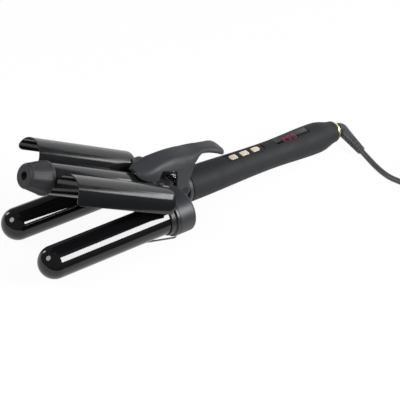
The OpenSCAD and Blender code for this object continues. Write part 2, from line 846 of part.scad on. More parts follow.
module tip_screw() {
    x0 = -jaw_reach - tip_length + 9;
    color(metal) in_jaw() translate([0, 0, centre_drop]) {
        rod_x(x0, 16 - jaw_reach, 1.5);
        difference() {
            rod_x(x0 - 2.2, x0, 2.9);
            translate([x0 - 3, -1.8, -0.4]) cube([2, 3.6, 0.8]);
            translate([x0 - 3, -0.4, -1.8]) cube([2, 0.8, 3.6]);
        }
    }
}

// ---------------------------------------------------------------- wire stand

function bend(a, b, c, r, n) =
    let (u = unit(a - b), v = unit(c - b), half = acos(u * v) / 2, t = r / tan(half),
         m = b + unit(u + v) * r / sin(half), s = unit(b + u * t - m), e = unit(b + v * t - m),
         q = unit(e - s * (s * e)), turn = 180 - 2 * half)
    [for (i = [0:n]) m + r * (s * cos(turn * i / n) + q * sin(turn * i / n))];

module wire_stand() {
    low = stand_r - rest_height;
    root = [stand_x, stand_y, stand_z];
    foot = [stand_x, stand_y, low];
    toe = [-stand_reach, stand_half, low];
    bar = [-stand_bar, stand_bar_half, low];
    bar_end = [-stand_bar, -stand_bar_half, low];
    inner = [stand_x, stand_inner_y, stand_z];
    right = concat([inner], bend(inner, root, foot, 1.6, 3), bend(root, foot, toe, 2.2, 4),
                   bend(foot, toe, bar, 2.5, 6), bend(toe, bar, bar_end, 4, 4));
    left = [for (i = [len(right) - 1:-1:0]) [right[i][0], -right[i][1], right[i][2]]];
    color(metal) placed() tube(concat(right, left), stand_r, 12);
}

// ---------------------------------------------------------------- mains lead

module swivel_stem() {
    u1 = handle_length + end_ring_length + elbow_gap;
    color(soft_black) in_handle() {
        rod_x(handle_length - 8.4, u1 + 3, stem_r);
        rod_x(handle_length - 8.4, handle_length - 6.4, end_bore_r - 0.4);
    }
}

// Centre line and radius of the moulded elbow, from the stem to the ribbed sleeve
elbow_at = handle_length + end_ring_length + elbow_gap;
elbow_x = handle_x + elbow_at * cos(handle_slope);
elbow_z = handle_z - elbow_at * sin(handle_slope);
elbow_line = [[elbow_x, 0, elbow_z, 7.1], [elbow_x + 1.6, -0.4, elbow_z - 0.1, 7.1],
              [elbow_x + 2.9, -1.7, elbow_z - 0.3, 6.9], [elbow_x + 3.5, -4, elbow_z - 0.9, 6.6],
              [elbow_x + 3.5, -8, elbow_z - 1.8, 6.2], [elbow_x + 3.5, -13, elbow_z - 3, 5.9],
              [elbow_x + 3.5, -18, elbow_z - 4.2, 5.6]];
sleeve_end = [elbow_x + 3.5, -35.5, elbow_z - 8.4];

module elbow_loft(line, sides) {
    p = [for (q = line) [q[0], q[1], q[2]]];
    m = normals(p);
    last = (len(p) - 1) * sides;
    polyhedron(convexity = 4,
        points = [for (i = [0:len(p) - 1]) for (k = [0:sides - 1])
            let (d = heading(p, i), b = cross(d, m[i]), a = 360 * k / sides)
            p[i] + line[i][3] * (m[i] * cos(a) + b * sin(a))],
        faces = concat([[for (k = [0:sides - 1]) k]], [[for (k = [sides - 1:-1:0]) last + k]],
            [for (i = [0:len(p) - 2]) for (k = [0:sides - 1])
                let (a = i * sides + k, b = i * sides + (k + 1) % sides)
                each [[a, a + sides, b], [b, a + sides, b + sides]]]));
}

module strain_relief() {
    start = [elbow_line[6][0], elbow_line[6][1], elbow_line[6][2]];
    run = sleeve_end - start;
    color(soft_black) placed() {
        difference() {
            elbow_loft(elbow_line, 24);
            translate([handle_x, 0, handle_z]) rotate([0, handle_slope, 0])
                rod_x(elbow_at - elbow_gap, elbow_at + 3 + fit, stem_r + fit);
        }
        // Ribbed sleeve, drawn along its own axis
        translate(start) rotate([0, 0, atan2(run[1], run[0])]) rotate([0, 90 - asin(run[2] / norm(run)), 0])
            rotate_extrude($fn = 32) difference() {
                polygon([[0, -0.6], [5.6, -0.6], [4.6, norm(run)], [0, norm(run)]]);
                for (i = [0:5]) {
                    translate([4.4 - 0.1 * i, 1.6 + 2.7 * i]) square([3, 1.3]);
                }
            }
    }
}

cord_z = cord_d / 2 - rest_height;
// Cord from the sleeve down to the surface and on to the coil
cord_route = [[258.93, -35.5, -15.96], [258.93, -42, -17.52], [258.6, -49, -18.9], [258, -56, -19.9], [257.2, -63, -20.3],
              [256.4, -71, -20.4], [256.3, -79, -20.4], [257.6, -87, -20.4], [260.4, -94.5, -20.4],
              [263.6, -102.3, -20.4], [266.8, -110.2, -20.4], [270, -118.2, -20.4],
              [273.2, -126.2, -20.4], [276.4, -134.2, -20.4]];
// Coil: four layers that spiral in and out by turns
coil_centre = [322.1, -133.8, -20.4];
coil_in = 26.2;
coil_out = 42.6;
coil_layer = 6.9;
coil_bump = 1.2;
coil_spiral = 2.375;
coil_start = 201.7;
coil_rings = 24;
function coil_layer_at(a) = min(floor(a / (coil_spiral + 0.5)), 3);
function coil_point(a) =
    let (k = coil_layer_at(a), t = a - k * (coil_spiral + 0.5), inward = k % 2 == 0,
         climb = max(t - coil_spiral, 0) * 2, s = min(t / coil_spiral, 1),
         reach = inward ? coil_out + (coil_in - coil_out) * s : coil_in + (coil_out - coil_in) * s,
         r = (k == 3 || climb <= 0) ? reach : reach + (inward ? -1 : 1) * coil_bump * sin(180 * climb),
         lift = k == 3 ? 3 : k + climb)
    coil_centre + [r * cos(coil_start + 360 * a), r * sin(coil_start + 360 * a), coil_layer * lift];
coil_turns = 11;
coil_loops = [for (i = [0:coil_turns * coil_rings]) coil_point(i / coil_rings)];
coil_heading = unit([-sin(coil_start), cos(coil_start), 0]);
coil_path = concat([coil_loops[0] - coil_heading * cord_d], coil_loops,
                   [coil_loops[len(coil_loops) - 1] + coil_heading * cord_d]);
coil_gap = min([for (i = [0:len(coil_loops) - 1]) for (j = [i + 12:1:len(coil_loops) - 1])
    norm(coil_loops[i] - coil_loops[j])]) - cord_d;
echo(least_gap_between_coil_turns = coil_gap);
echo(coil_length = len(coil_loops) * PI * (coil_in + coil_out) / coil_rings, rest_height = rest_height,
     middle_x = middle_x);
// Tail from the top of the coil round and up to the plug, which lies across the coil
coil_end = coil_path[len(coil_path) - 1];
tail_bend = 28;
tail_turn = 124.4;
tail_lead = 3.8;
plug_gap = 0.15;
tail_parts = 13;
tail_rise = cord_d / 2 + plug_gap + plug_thick / 2;
coil_left = [-coil_heading[1], coil_heading[0], 0];
tail_length = tail_lead + tail_bend * tail_turn * PI / 180;
function tail_point(s) =
    let (a = max(s - tail_lead, 0) / tail_bend * 180 / PI)
    coil_end + coil_heading * (min(s, tail_lead) + tail_bend * sin(a))
    + coil_left * tail_bend * (1 - cos(a))
    + [0, 0, tail_rise * ease((s - tail_lead) / (tail_length - tail_lead))];
cord_tail_route = concat([coil_end], [for (i = [0:tail_parts])
    tail_point(tail_lead + (tail_length - tail_lead) * i / tail_parts)]);
plug_at = cord_tail_route[len(cord_tail_route) - 1];

module cord() {
    color(soft_black) placed() tube(concat(cord_route, [coil_path[0]]), cord_d / 2, 8);
}

module cord_coil() {
    color(soft_black) placed() tube(coil_path, cord_d / 2, 6);
}

module cord_tail() {
    color(soft_black) placed() tube(cord_tail_route, cord_d / 2, 8);
}

module in_plug() {
    placed() translate(plug_at) rotate([0, 0, coil_start + 90 + tail_turn]) children();
}

module plug_body() {
    w = plug_width / 2;
    t = plug_thick / 2;
    l = plug_length;
    color(soft_black) in_plug() difference() {
        union() {
            intersection() {
                linear_extrude(height = plug_thick, center = true)
                    polygon([[-1, -5.5], [-1, 5.5], [7, 7], [12, 11], [17, w - 1], [20, w], [l - 2, w], [l, w - 2],
                             [l, 2 - w], [l - 2, -w], [20, -w], [17, 1 - w], [12, -11], [7, -7]]);
                plate_y(-w - over, w + over)
                    polygon([[-1, -5], [-1, 5], [10, t], [l - 1.5, t], [l, t - 1.5], [l, 1.5 - t],
                             [l - 1.5, -t], [10, -t]]);
            }
            both_sides() translate([0, plug_pitch / 2, 0]) rod_x(l - over, l + 10, plug_pin_d / 2);
        }
        both_sides() translate([0, plug_pitch / 2, 0]) rod_x(l - 8, l + 10 + over, 1.52);
        rod_x(-2, 4, cord_d / 2);
    }
}

module plug_pins() {
    l = plug_length;
    color(metal) in_plug() both_sides() translate([0, plug_pitch / 2, 0]) {
        rod_x(l - 8, l + 10.1, 1.5);
        rod_x(l + 10, l + 18.2, plug_pin_d / 2);
        translate([l + 18.2, 0, 0]) rotate([0, 90, 0]) cylinder(h = 0.8, r1 = plug_pin_d / 2, r2 = 1.3, $fn = 32);
    }
}

yoke();
barrel_near();
barrel_far();
barrel_collars();
barrel_heaters();
pivot_pin();
spring_bush();
clamp_spring();
front_ring();
handle_upper();
handle_lower();
control_panel();
display_window();
display_module();
control_board();
end_ring();
case_screws();
lever();
jaw_bridge();
wing_near();
wing_far();
centre_barrel();
centre_heater();
cool_tip();
tip_screw();
lever_screws();
key_front();
key_middle();
key_rear();
wire_stand();
swivel_stem();
strain_relief();
cord();
cord_coil();
cord_tail();
plug_body();
plug_pins();
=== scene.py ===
"""Dressed model of a three-barrel hair crimper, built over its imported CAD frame.

Drawn lengths are in millimetres, with X from the tip towards the cord, Y across and Z up. X starts at
the front face of the yoke and Z at the axes of the two lower barrels. PLACED, HANDLE and jaw_place()
turn drawn points into the metres of the frame.
"""

import math

import bpy
import bmesh
from mathutils import Matrix, Quaternion, Vector


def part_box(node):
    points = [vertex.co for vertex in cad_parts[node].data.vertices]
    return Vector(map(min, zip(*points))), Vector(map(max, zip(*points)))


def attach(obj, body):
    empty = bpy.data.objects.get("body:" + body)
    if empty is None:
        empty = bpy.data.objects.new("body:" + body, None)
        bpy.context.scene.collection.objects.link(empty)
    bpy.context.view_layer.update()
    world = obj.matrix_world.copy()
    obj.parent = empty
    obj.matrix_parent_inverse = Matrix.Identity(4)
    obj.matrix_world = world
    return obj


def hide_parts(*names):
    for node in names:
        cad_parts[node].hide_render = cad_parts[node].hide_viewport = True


bl_info = {
    "name": "Hair crimper",
    "version": (1, 0, 0),
    "blender": (4, 5, 0),
    "location": "3D View > Sidebar > Crimper",
    "description": "Builds the dressed hair crimper over its CAD frame",
    "category": "Object",
}

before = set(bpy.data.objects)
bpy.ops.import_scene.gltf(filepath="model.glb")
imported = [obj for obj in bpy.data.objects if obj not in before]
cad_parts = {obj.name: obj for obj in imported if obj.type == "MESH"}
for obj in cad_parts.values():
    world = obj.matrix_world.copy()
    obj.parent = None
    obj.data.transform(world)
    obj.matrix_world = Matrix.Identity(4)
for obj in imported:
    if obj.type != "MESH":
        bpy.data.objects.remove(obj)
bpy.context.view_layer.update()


MM = 0.001

# Where the drawing sits in the frame, read from a lower barrel
BARREL_SEAT = 13
barrel_low, barrel_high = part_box("barrel_near")
BARREL_RADIUS = (barrel_high.z - barrel_low.z) / 2 / MM
BARREL_Y = -(barrel_high.y + barrel_low.y) / 2 / MM
BARREL_REACH = (barrel_high.x - barrel_low.x) / MM - BARREL_SEAT
YOKE_FACE = barrel_high.x - BARREL_SEAT * MM
AXIS_HEIGHT = (barrel_high.z + barrel_low.z) / 2
FLOOR_Z = -AXIS_HEIGHT / MM
BARREL_PLAY = 0.1
DOME_STEPS = 32
COLLAR_EDGE = 0.3
# Collar profile: place along X and radius
COLLAR_PROFILE = [(-9, 16.1), (-9, 17.3), (-8.4, 17.8), (-3.5, 18.2), (-3.5, 20), (-3, 20.5),
                  (-0.05, 20.5), (-0.05, 16.1)]

# Jaw
PIVOT = (29.6, 0, 7.8)
CENTRE_RADIUS = 15
CENTRE_DROP = -4
JAW_REACH = 133.5
WING_BACK = 10.5
WING_GAP = 0.6
WING_ANGLE = 97
WING_CORNER = 6
WING_EDGE_SHARE = 0.3
# Steps round a wing's front corner, along the wing, and round each half of it
WING_STEPS = (10, 24, 40)
CENTRE_BACK = 12
CENTRE_EDGE = 0.3
CENTRE_TIP_GAP = 0.02
TIP_LENGTH = 24
TIP_RADIUS = 16.3
TIP_BAND = 3
TIP_FACE_RADIUS = 9.9
TIP_NOSE = 2.4
TIP_HOLE_RADIUS = 3.8
TIP_HOLE_DEPTH = 9
TIP_HOLE_EDGE = 0.4
TIP_EDGE = 0.8
# Steps of about this length along the tip's profile, and this many round it
TIP_FINENESS = 0.6
TIP_STEPS = 240
TIP_FLUTES = 10
FLUTE_FROM_FACE = 2.2
FLUTE_FROM_BACK = 3.2
FLUTE_DEPTH = 0.6
FLUTE_STEEP = 2.5
# Half the width of a flute, as a share of the distance between two flutes
FLUTE_REACH = 0.36

# Handle, measured along its own axis from the front edge
HANDLE_AT = (43, 0, -2)
HANDLE_SLOPE = 1.5
HANDLE_LENGTH = 203.5
WAIST_AT = 108
BULGE_AT = 174
SHOULDER_POWER = 1.25
SHELL_WALL = 2.2
SHELL_STEPS = 140
# Rounding of the shells' two ends: place from the end, and change of the radius
SHELL_RIM = [(0, -0.5), (0.15, -0.15), (0.5, 0)]
SEAM_GAP = 0.06
SEAM_EDGE = 0.25
# The middle of a rounded seam edge: its share of the edge, and its depth
SEAM_MIDDLE = (0.4, 0.06)
HALF_STEPS = 64
FRONT_RING = 5
FRONT_RING_EDGE = 0.25
SPIGOT_RADIUS = 13.5
END_RING = 4
END_RING_RADIUS = 11.4
END_RING_SPIGOT = 9.6
END_RING_SEAT = 3
END_RING_EDGE = 0.35
BORE_PLAY = 0.05
STEM_RADIUS = 6
PANEL_TOP = 14.1
PANEL_SIZE = (52, 12.6)
PANEL_CORNER = 4
PANEL_PLAY = 0.05
PANEL_WALL = 1.2
SEAT_HEIGHT = 10
KEY_AT = 61
KEY_PITCH = 15
KEY_SIZE = (9.4, 6.6)
KEY_CORNER = 0.8
# Half the flat between the two arcs of a key's half-round end
KEY_END_FLAT = 0.3
KEY_PROUD = 0.8
KEY_BELOW = 0.9
KEY_EDGE = 0.35
KEY_CROWN = 0.15
WINDOW_AT = 140.5
WINDOW_TOP = 15.3
WINDOW_SIZE = (45, 10)
WINDOW_THICK = 1.95
WINDOW_CORNER = 0.9
WINDOW_EDGE = 0.3
WINDOW_SLOPE = 2
WINDOW_PLAY = 0.15
WINDOW_SEAT_CORNER = 1.15
WINDOW_SEAT_DEPTH = 2
# Where the dark band along the window ends, across the window
WINDOW_BAND = (-1.9, -1.5)
DIGITS_SHOWN = "200"
DIGITS_START = -10.6
DIGITS_ACROSS = -1.3
DIGIT_PITCH = 6.5
DIGIT_WIDTH = 3.2
DIGIT_STROKE = 0.48
# Corners of a segment as a share of its stroke, its depth in the window and its height on it
SEGMENT_CORNER = 0.3
SEGMENT_SINK = 0.1
SEGMENT_PROUD = 0.02

# Lever sections: place along X, crown height, half width, height of the widest place, lower edge
LEVER_ROWS = [
    (-31, 15.8, 6, 10.5, 12.2), (-29, 17.4, 9.4, 10, 11.4), (-25.5, 20.2, 12, 9.6, 10.9),
    (-20.5, 24.1, 14.2, 9.8, 11), (-15.5, 28.2, 15.6, 11, 12.4), (-10.5, 31.6, 16.8, 13, 14),
    (-8, 33.2, 17.1, 14.5, 24), (-2, 36.6, 17.6, 19, 25), (5, 39.9, 17.6, 22, 26.2),
    (12, 42.4, 17.6, 25, 28.7), (18, 44.2, 17.6, 28, 31.5), (23, 45.7, 17.4, 30, 32.8),
    (27, 47.1, 16.6, 31, 34), (31, 48.7, 14.4, 35, 38), (35, 50.4, 11.4, 41.5, 44.5),
    (39, 51.9, 9.2, 44, 47), (46, 54, 8.6, 45.2, 48.4), (52, 55.3, 9.5, 46.2, 49.4),
    (57, 56, 10.8, 46.6, 50.1), (61, 56, 11.6, 46.8, 50.2), (64.5, 55.6, 11.2, 47, 50.1),
    (67, 54.8, 9.4, 47.2, 49.9), (68.4, 53.7, 6.6, 47.4, 49.8), (68.9, 52.4, 3, 47.8, 49.8)]
# How square the lever's sections are, across and upwards: 1 for an ellipse, less for a squarer one
LEVER_SQUARE = (0.5, 0.45)
LEVER_STEPS = 60
LEVER_SMOOTHINGS = 10
# The most that the lever's wall takes of a section's height and of its half width
LEVER_WALL_SHARES = (0.7, 0.4)
# How much the lever's walls lean in for each millimetre of height, and between which places along X
LEVER_LEAN = 0.017
LEAN_SPAN = (-32, 0, 16, 46)
# The lean starts above a line through this place and height, with this rise, for this length
LEAN_FOOT_AT = 8
LEAN_FOOT_HEIGHT = 21
LEAN_FOOT_RISE = 0.5
LEAN_FOOT_LENGTH = 8
CHEEK_OUTLINE = [(8, 31), (8, 27.3), (11, 20.8), (15, 13), (22.9, 4.6), (29.6, 7.8), (36.2, 11.3),
                 (30.6, 16.6), (28.6, 21), (28.2, 29), (28.6, 37), (22, 38), (12, 36)]
CHEEK_IN = 14.1
CHEEK_OUT = 17.4
CHEEK_CORNER = 2.5
CHEEK_BOSS_RADIUS = 7.5
PIN_HEAD_RADIUS = 4.5
PIN_HEAD_PLAY = 0.2
PIN_RECESS = 1

# Wire stand: its hinge along X, its two ends across, and its toe and bar as places along and across
STAND_HINGE_AT = 3
STAND_HINGE_DROP = 0.6
STAND_ENDS = (1, 9)
STAND_TOE = (-30, 31.4)
STAND_BAR = (-8, 21)
# Radius and steps of each of its bends
STAND_BENDS = [(1.6, 8), (2.2, 8), (2.5, 12), (4, 8)]

# Clamp spring: its coil, and the points and slope of the leg at each end
SPRING_RADIUS = 6.3
SPRING_TURNS = 5.25
SPRING_STEPS = 32
SPRING_ROOM = 15.4
SPRING_LEG = (-9, -6, -3)
SPRING_LEG_SLOPE = 0.04
SPRING_ARM = (3, 6, 10)
SPRING_ARM_SLOPE = -0.03

# Lead: the elbow and its slotted sleeve, the cord to the coil, the coil, and the cord to the plug
CORD_DIAMETER = 6.2
SLEEVE_START = (258.93, -18, -11.76)
SLEEVE_END = (258.93, -35.5, -15.96)
SLEEVE_RADIUS = 5.6
SLEEVE_TAPER = 1
SLEEVE_STEPS = 140
SLOT_START = 1.6
SLOT_PITCH = 2.7
SLOT_WIDTH = 1.3
SLOT_DEPTH = 1.1
SLOT_EDGE = 0.25
SLOT_COUNT = 6
# How far round a slot is open, and how steeply it ends
SLOT_OPEN = 0.82
SLOT_STEEP = 3
ELBOW_RIM = 0.4
ELBOW_ROUTE = [(255.43, 0, -7.56, 7.1), (257.03, -0.4, -7.66, 7.1), (258.33, -1.7, -7.86, 6.9),
               (258.93, -4, -8.46, 6.6), (258.93, -8, -9.36, 6.2), (258.93, -13, -10.56, 5.9),
               (258.93, -18, -11.76, 5.6)]
CORD_ROUTE = [(258.93, -35.5, -15.96), (258.93, -42, -17.52), (258.6, -49, -18.9), (258, -56, -19.9),
              (257.2, -63, -20.3), (256.4, -71, -20.4), (256.3, -79, -20.4), (257.6, -87, -20.4),
              (260.4, -94.5, -20.4), (263.6, -102.3, -20.4), (266.8, -110.2, -20.4),
              (270, -118.2, -20.4), (273.2, -126.2, -20.4), (276.4, -134.2, -20.4)]
COIL_CENTRE = (322.1, -133.8, -20.4)
COIL_IN = 26.2
COIL_OUT = 42.6
COIL_LAYER = 6.9
COIL_BUMP = 1.2
COIL_LAYERS = 4
COIL_SPIRAL = 2.375
COIL_CLIMB = 0.5
COIL_START = 201.7
COIL_TURNS = 11
COIL_POINTS = 24
TAIL_LEAD = 3.8
TAIL_BEND = 28
TAIL_TURN = 124.4
TAIL_PARTS = 13
PLUG_GAP = 0.15
PLUG_LENGTH = 36
PLUG_WIDTH = 35.3
PLUG_THICK = 13.7
PLUG_CORNER_SHARE = 0.62

# Camera, aimed at a point on the crimper's axis
CAMERA_AZIMUTH = -40.63
CAMERA_ELEVATION = 37.51
CAMERA_ROLL = 5.65
CAMERA_DISTANCE = 1.20166
CAMERA_SHIFT = (0.04463, -0.00422)
CAMERA_LENS = 108.85
CAMERA_SENSOR = 36
CAMERA_TARGET_X = 6.5
CAMERA_CLIP = (0.05, 20)

# Floor, in metres: its size and level, where the paper ends, the tones of the table and the paper, and
# how much of the paper is plain white to the camera
FLOOR_HALF = 3.0
FLOOR_LEVEL = -0.0005
PAPER_END = (-0.118, -0.103)
PAPER_TONES = (0.04, 0.8)
PAPER_WHITE = 0.95
STUDIO_GREY = (0.16, 0.16, 0.165, 1)

# Patches of unlike roughness in a finish, in mm, and the band of the noise that counts
PATCH_SIZE = 50 / 3
PATCH_BAND = (0.3, 0.7)

PLACED = Matrix.Translation((YOKE_FACE, 0, AXIS_HEIGHT)) @ Matrix.Scale(MM, 4)
HANDLE = PLACED @ Matrix.Translation(HANDLE_AT) @ Matrix.Rotation(math.radians(HANDLE_SLOPE), 4, "Y")
WINDOW = HANDLE @ Matrix.Translation((WINDOW_AT, 0, WINDOW_TOP)) \
    @ Matrix.Rotation(math.radians(-WINDOW_SLOPE), 4, "Y")


def jaw_place(angle):
    """Turns points drawn with the jaw closed into the frame, at the jaw's angle in radians."""
    pivot = Matrix.Translation(PIVOT)
    return PLACED @ pivot @ Matrix.Rotation(angle, 4, "Y") @ pivot.inverted()


def linear(code):
    """An sRGB hex colour as Blender's linear RGBA."""
    parts = [int(code[i:i + 2], 16) / 255 for i in (1, 3, 5)]
    return [p / 12.92 if p <= 0.04045 else ((p + 0.055) / 1.055) ** 2.4 for p in parts] + [1.0]


# ---------------------------------------------------------------- sizes and colours


def length_property(name, description, default):
    """A length, with its default in mm."""
    return bpy.props.FloatProperty(name=name, description=description, default=default * MM,
                                   min=0, unit="LENGTH", precision=4)


def colour_property(name, description, code):
    """A colour, with its default as an sRGB hex code."""
    return bpy.props.FloatVectorProperty(name=name, description=description, subtype="COLOR", size=4,
                                         min=0, max=1, default=linear(code))


class CrimperSizes(bpy.types.PropertyGroup):
    """Sizes that the pieces are built from."""

    jaw_angle: bpy.props.FloatProperty(
        name="Jaw angle", description="Angle of the jaw above its closed position",
        default=math.radians(27), subtype="ANGLE")
    wing_wall: length_property("Wing wall", "Thickness of the wing shells", 1.1)
    front_diameter: length_property("Handle front", "Handle diameter at the front", 35)
    waist_diameter: length_property("Handle waist", "Handle diameter at the waist", 30)
    bulge_diameter: length_property("Handle bulge", "Handle diameter at the rear bulge", 33.8)
    tail_diameter: length_property("Handle tail", "Handle diameter at the rear end", 23.8)
    lever_wall: length_property("Lever wall", "Wall thickness of the moulded lever", 2.4)
    lever_voxel: length_property("Lever detail", "Voxel size that blends the lever's parts", 0.55)
    cord_diameter: length_property("Cord diameter", "Diameter of the lead", CORD_DIAMETER)
    stand_wire: length_property("Stand wire", "Diameter of the stand wire", 1.8)
    spring_wire: length_property("Spring wire", "Diameter of the spring wire", 1.8)


class CrimperColours(bpy.types.PropertyGroup):
    """Colours of the crimper's finishes."""

    coating: colour_property("Barrel coating", "Glossy coating of the fixed barrels", "#101012")
    wing_coating: colour_property("Wing coating", "Satin gloss coating of the jaw's wings", "#17181A")
    soft_touch: colour_property("Handle", "Soft-touch paint of the handle", "#2A2B2D")
    lever: colour_property("Lever", "Moulded plastic of the lever", "#38393C")
    yoke: colour_property("Yoke", "Moulded plastic of the yoke and bridge", "#35363A")
    collar: colour_property("Collar", "Heat-proof plastic of the collars", "#2C2D2F")
    tip: colour_property("Cool tip", "Matte plastic of the cool tip", "#343437")
    panel: colour_property("Panel", "Gloss plastic of the key panel", "#1C1C1E")
    key: colour_property("Keys", "Champagne paint of the keys", "#EFE2C8")
    window: colour_property("Window", "Tinted window of the display", "#4C4E4E")
    digit: colour_property("Digits", "Light of the display's digits", "#A0204E")
    gold: colour_property("Gold trim", "Plated trim ring", "#EFE7B8")
    cord: colour_property("Cord", "Sheath of the lead", "#464748")
    backdrop: colour_property("Backdrop", "Paper under the crimper", "#FFFFFF")


# ---------------------------------------------------------------- node and mesh tools


# Points nearer than this, in mm, are joined
WELD = 0.001
# The most that a rounded corner takes of an edge
CORNER_SHARE = 0.48
# Rings of a crowned top, as shares of its outline
CROWN_SHARES = (0.8, 0.5, 0.2)


def add_node(tree, kind, settings=None, links=None):
    """Adds a shader node; settings name its inputs or its attributes, and links name its inputs.
    An input may be given by its number, where its name is not unique."""
    node = tree.nodes.new(kind)
    for name, value in (settings or {}).items():
        if isinstance(name, int) or name in node.inputs:
            node.inputs[name].default_value = value
        else:
            setattr(node, name, value)
    for name, source in (links or {}).items():
        tree.links.new(source, node.inputs[name])
    return node


def new_material(name):
    """A material with an empty tree and its output node."""
    material = bpy.data.materials.new(name)
    material.use_nodes = True
    material.node_tree.nodes.clear()
    return material, material.node_tree, add_node(material.node_tree, "ShaderNodeOutputMaterial")


def finish(name, colour, roughness, grain=None, relief=0.0, spread=0.0, **extra):
    """A surface with a fine grain: grain is its size in mm, relief its height in mm, and spread how
    much the roughness wanders from patch to patch, as handling and moulding leave it."""
    material, tree, output = new_material(name)
    shader = add_node(tree, "ShaderNodeBsdfPrincipled",
                      {"Base Color": colour, "Roughness": roughness, **extra})
    tree.links.new(shader.outputs[0], output.inputs["Surface"])
    if not grain:
        return material
    place = add_node(tree, "ShaderNodeTexCoord")
    noise = add_node(tree, "ShaderNodeTexNoise", {"Scale": 1 / (grain * MM), "Detail": 3.0},
                     {"Vector": place.outputs["Object"]})
    bump = add_node(tree, "ShaderNodeBump", {"Strength": 1.0, "Distance": relief * MM},
                    {"Height": noise.outputs[0]})
    tree.links.new(bump.outputs[0], shader.inputs["Normal"])
    if spread:
        slow = add_node(tree, "ShaderNodeTexNoise", {"Scale": 1 / (PATCH_SIZE * MM), "Detail": 2.0},
                        {"Vector": place.outputs["Object"]})
        span = add_node(tree, "ShaderNodeMapRange",
                        {"From Min": PATCH_BAND[0], "From Max": PATCH_BAND[1],
                         "To Min": roughness - spread, "To Max": roughness + spread},
                        {"Value": slow.outputs[0]})
        tree.links.new(span.outputs[0], shader.inputs["Roughness"])
    return material


def make_mesh(name, points, faces, place):
    """A clean mesh in the frame's metres, with its normals outward."""
    if not faces:
        raise RuntimeError(f"{name} has no faces")
    mesh = bpy.data.meshes.new(name)
    mesh.from_pydata([place @ Vector(p) for p in points], [], faces)
    work = bmesh.new()
    work.from_mesh(mesh)
    bmesh.ops.remove_doubles(work, verts=work.verts, dist=WELD * MM)
    bmesh.ops.recalc_face_normals(work, faces=work.faces)
    work.to_mesh(mesh)
    work.free()
    return mesh


def shade(mesh, sharp=40):
    """Smooth shading that breaks at edges above this angle in degrees."""
    mesh.shade_smooth()
    mesh.set_sharp_from_angle(angle=math.radians(sharp))


def place_object(name, data, material):
    """Links a new object with one material."""
    piece = bpy.data.objects.new(name, data)
    bpy.context.scene.collection.objects.link(piece)
    data.materials.append(material)
    return piece


def settle(piece, body, nodes=()):
    """Lets a piece ride on its body and stand for its CAD nodes."""
    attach(piece, body)
    if nodes:
        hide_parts(*nodes)
    return piece


def dress(name, shape, place, material, body, nodes, sharp=40):
    """A settled piece from its points and faces."""
    mesh = make_mesh(name, *shape, place)
    shade(mesh, sharp)
    return settle(place_object(name, mesh, MATERIALS[material]), body, nodes)


def add_modifier(piece, kind, **settings):
    """Adds a modifier with its settings."""
    modifier = piece.modifiers.new(kind.title(), kind)
    for name, value in settings.items():
        setattr(modifier, name, value)


def bake(piece, sharp=35):
    """Turns the piece's modifiers into its own mesh."""
    seen = piece.evaluated_get(bpy.context.evaluated_depsgraph_get())
    mesh = bpy.data.meshes.new_from_object(seen)
    if not mesh.polygons:
        raise RuntimeError(f"{piece.name} has no faces left")
    piece.modifiers.clear()
    piece.data = mesh
    shade(mesh, sharp)


def cut(piece, cutters, sharp=35):
    """Takes the cutters, given as meshes, out of the piece."""
    tools = []
    for mesh in cutters:
        tool = bpy.data.objects.new("cutter", mesh)
        bpy.context.scene.collection.objects.link(tool)
        add_modifier(piece, "BOOLEAN", operation="DIFFERENCE", object=tool, solver="EXACT")
        tools.append(tool)
    bake(piece, sharp)
    for tool in tools:
        bpy.data.objects.remove(tool)


def loft(rings, cap=True, loop=True, around=False):
    """Joins rings of equal count; loop closes each ring, and around joins the last to the first."""
    count = len(rings[0])
    points = [p for ring in rings for p in ring]
    faces = []
    for i in range(len(rings) if around else len(rings) - 1):
        j = (i + 1) % len(rings)
        for k in range(count if loop else count - 1):
            m = (k + 1) % count
            faces.append((i * count + k, i * count + m, j * count + m, j * count + k))
    if cap and not around:
        faces.append(tuple(range(count)))
        faces.append(tuple(range(len(points) - count, len(points))))
    return points, faces


def lathe(profile, open_profile=False, steps=128):
    """Turns a profile of (x, radius) about the X axis; an open profile starts and ends on the axis."""
    rings = []
    for i in range(steps):
        angle = 2 * math.pi * i / steps
        rings.append([(x, r * math.sin(angle), r * math.cos(angle)) for x, r in profile])
    return loft(rings, cap=False, loop=not open_profile, around=True)


def disc(low, high, radius):
    """A plain cylinder about the X axis."""
    return lathe([(low, 0), (low, radius), (high, radius), (high, 0)], open_profile=True)


def rounded(points, size, steps=4, closed=True):
    """The outline with its corners rounded, each by size or less where an edge is short."""
    out = []
    count = len(points)
    for i, point in enumerate(points):
        here = Vector(point)
        if not closed and i in (0, count - 1):
            out.append(tuple(here))
            continue
        before, after = Vector(points[i - 1]), Vector(points[(i + 1) % count])
        reach = min(size, (before - here).length * CORNER_SHARE, (after - here).length * CORNER_SHARE)
        first = here + (before - here).normalized() * reach
        last = here + (after - here).normalized() * reach
        for k in range(steps + 1):
            t = k / steps
            out.append(tuple(first * (1 - t) ** 2 + here * 2 * t * (1 - t) + last * t * t))
    return out


def curved(points, steps):
    """Points on a smooth curve through the given ones."""
    out = []
    last = len(points) - 1
    for i in range(last):
        a, b, c, d = (Vector(points[j]) for j in (max(i - 1, 0), i, i + 1, min(i + 2, last)))
        for k in range(steps):
            t = k / steps
            out.append(b + ((c - a) * t + (2 * a - 5 * b + 4 * c - d) * t ** 2
                            + (3 * b - a - 3 * c + d) * t ** 3) / 2)
    out.append(Vector(points[last]))
    return out


def ease(t):
    """Runs softly from 0 to 1 and stays there."""
    return (1 - math.cos(math.pi * min(max(t, 0), 1))) / 2


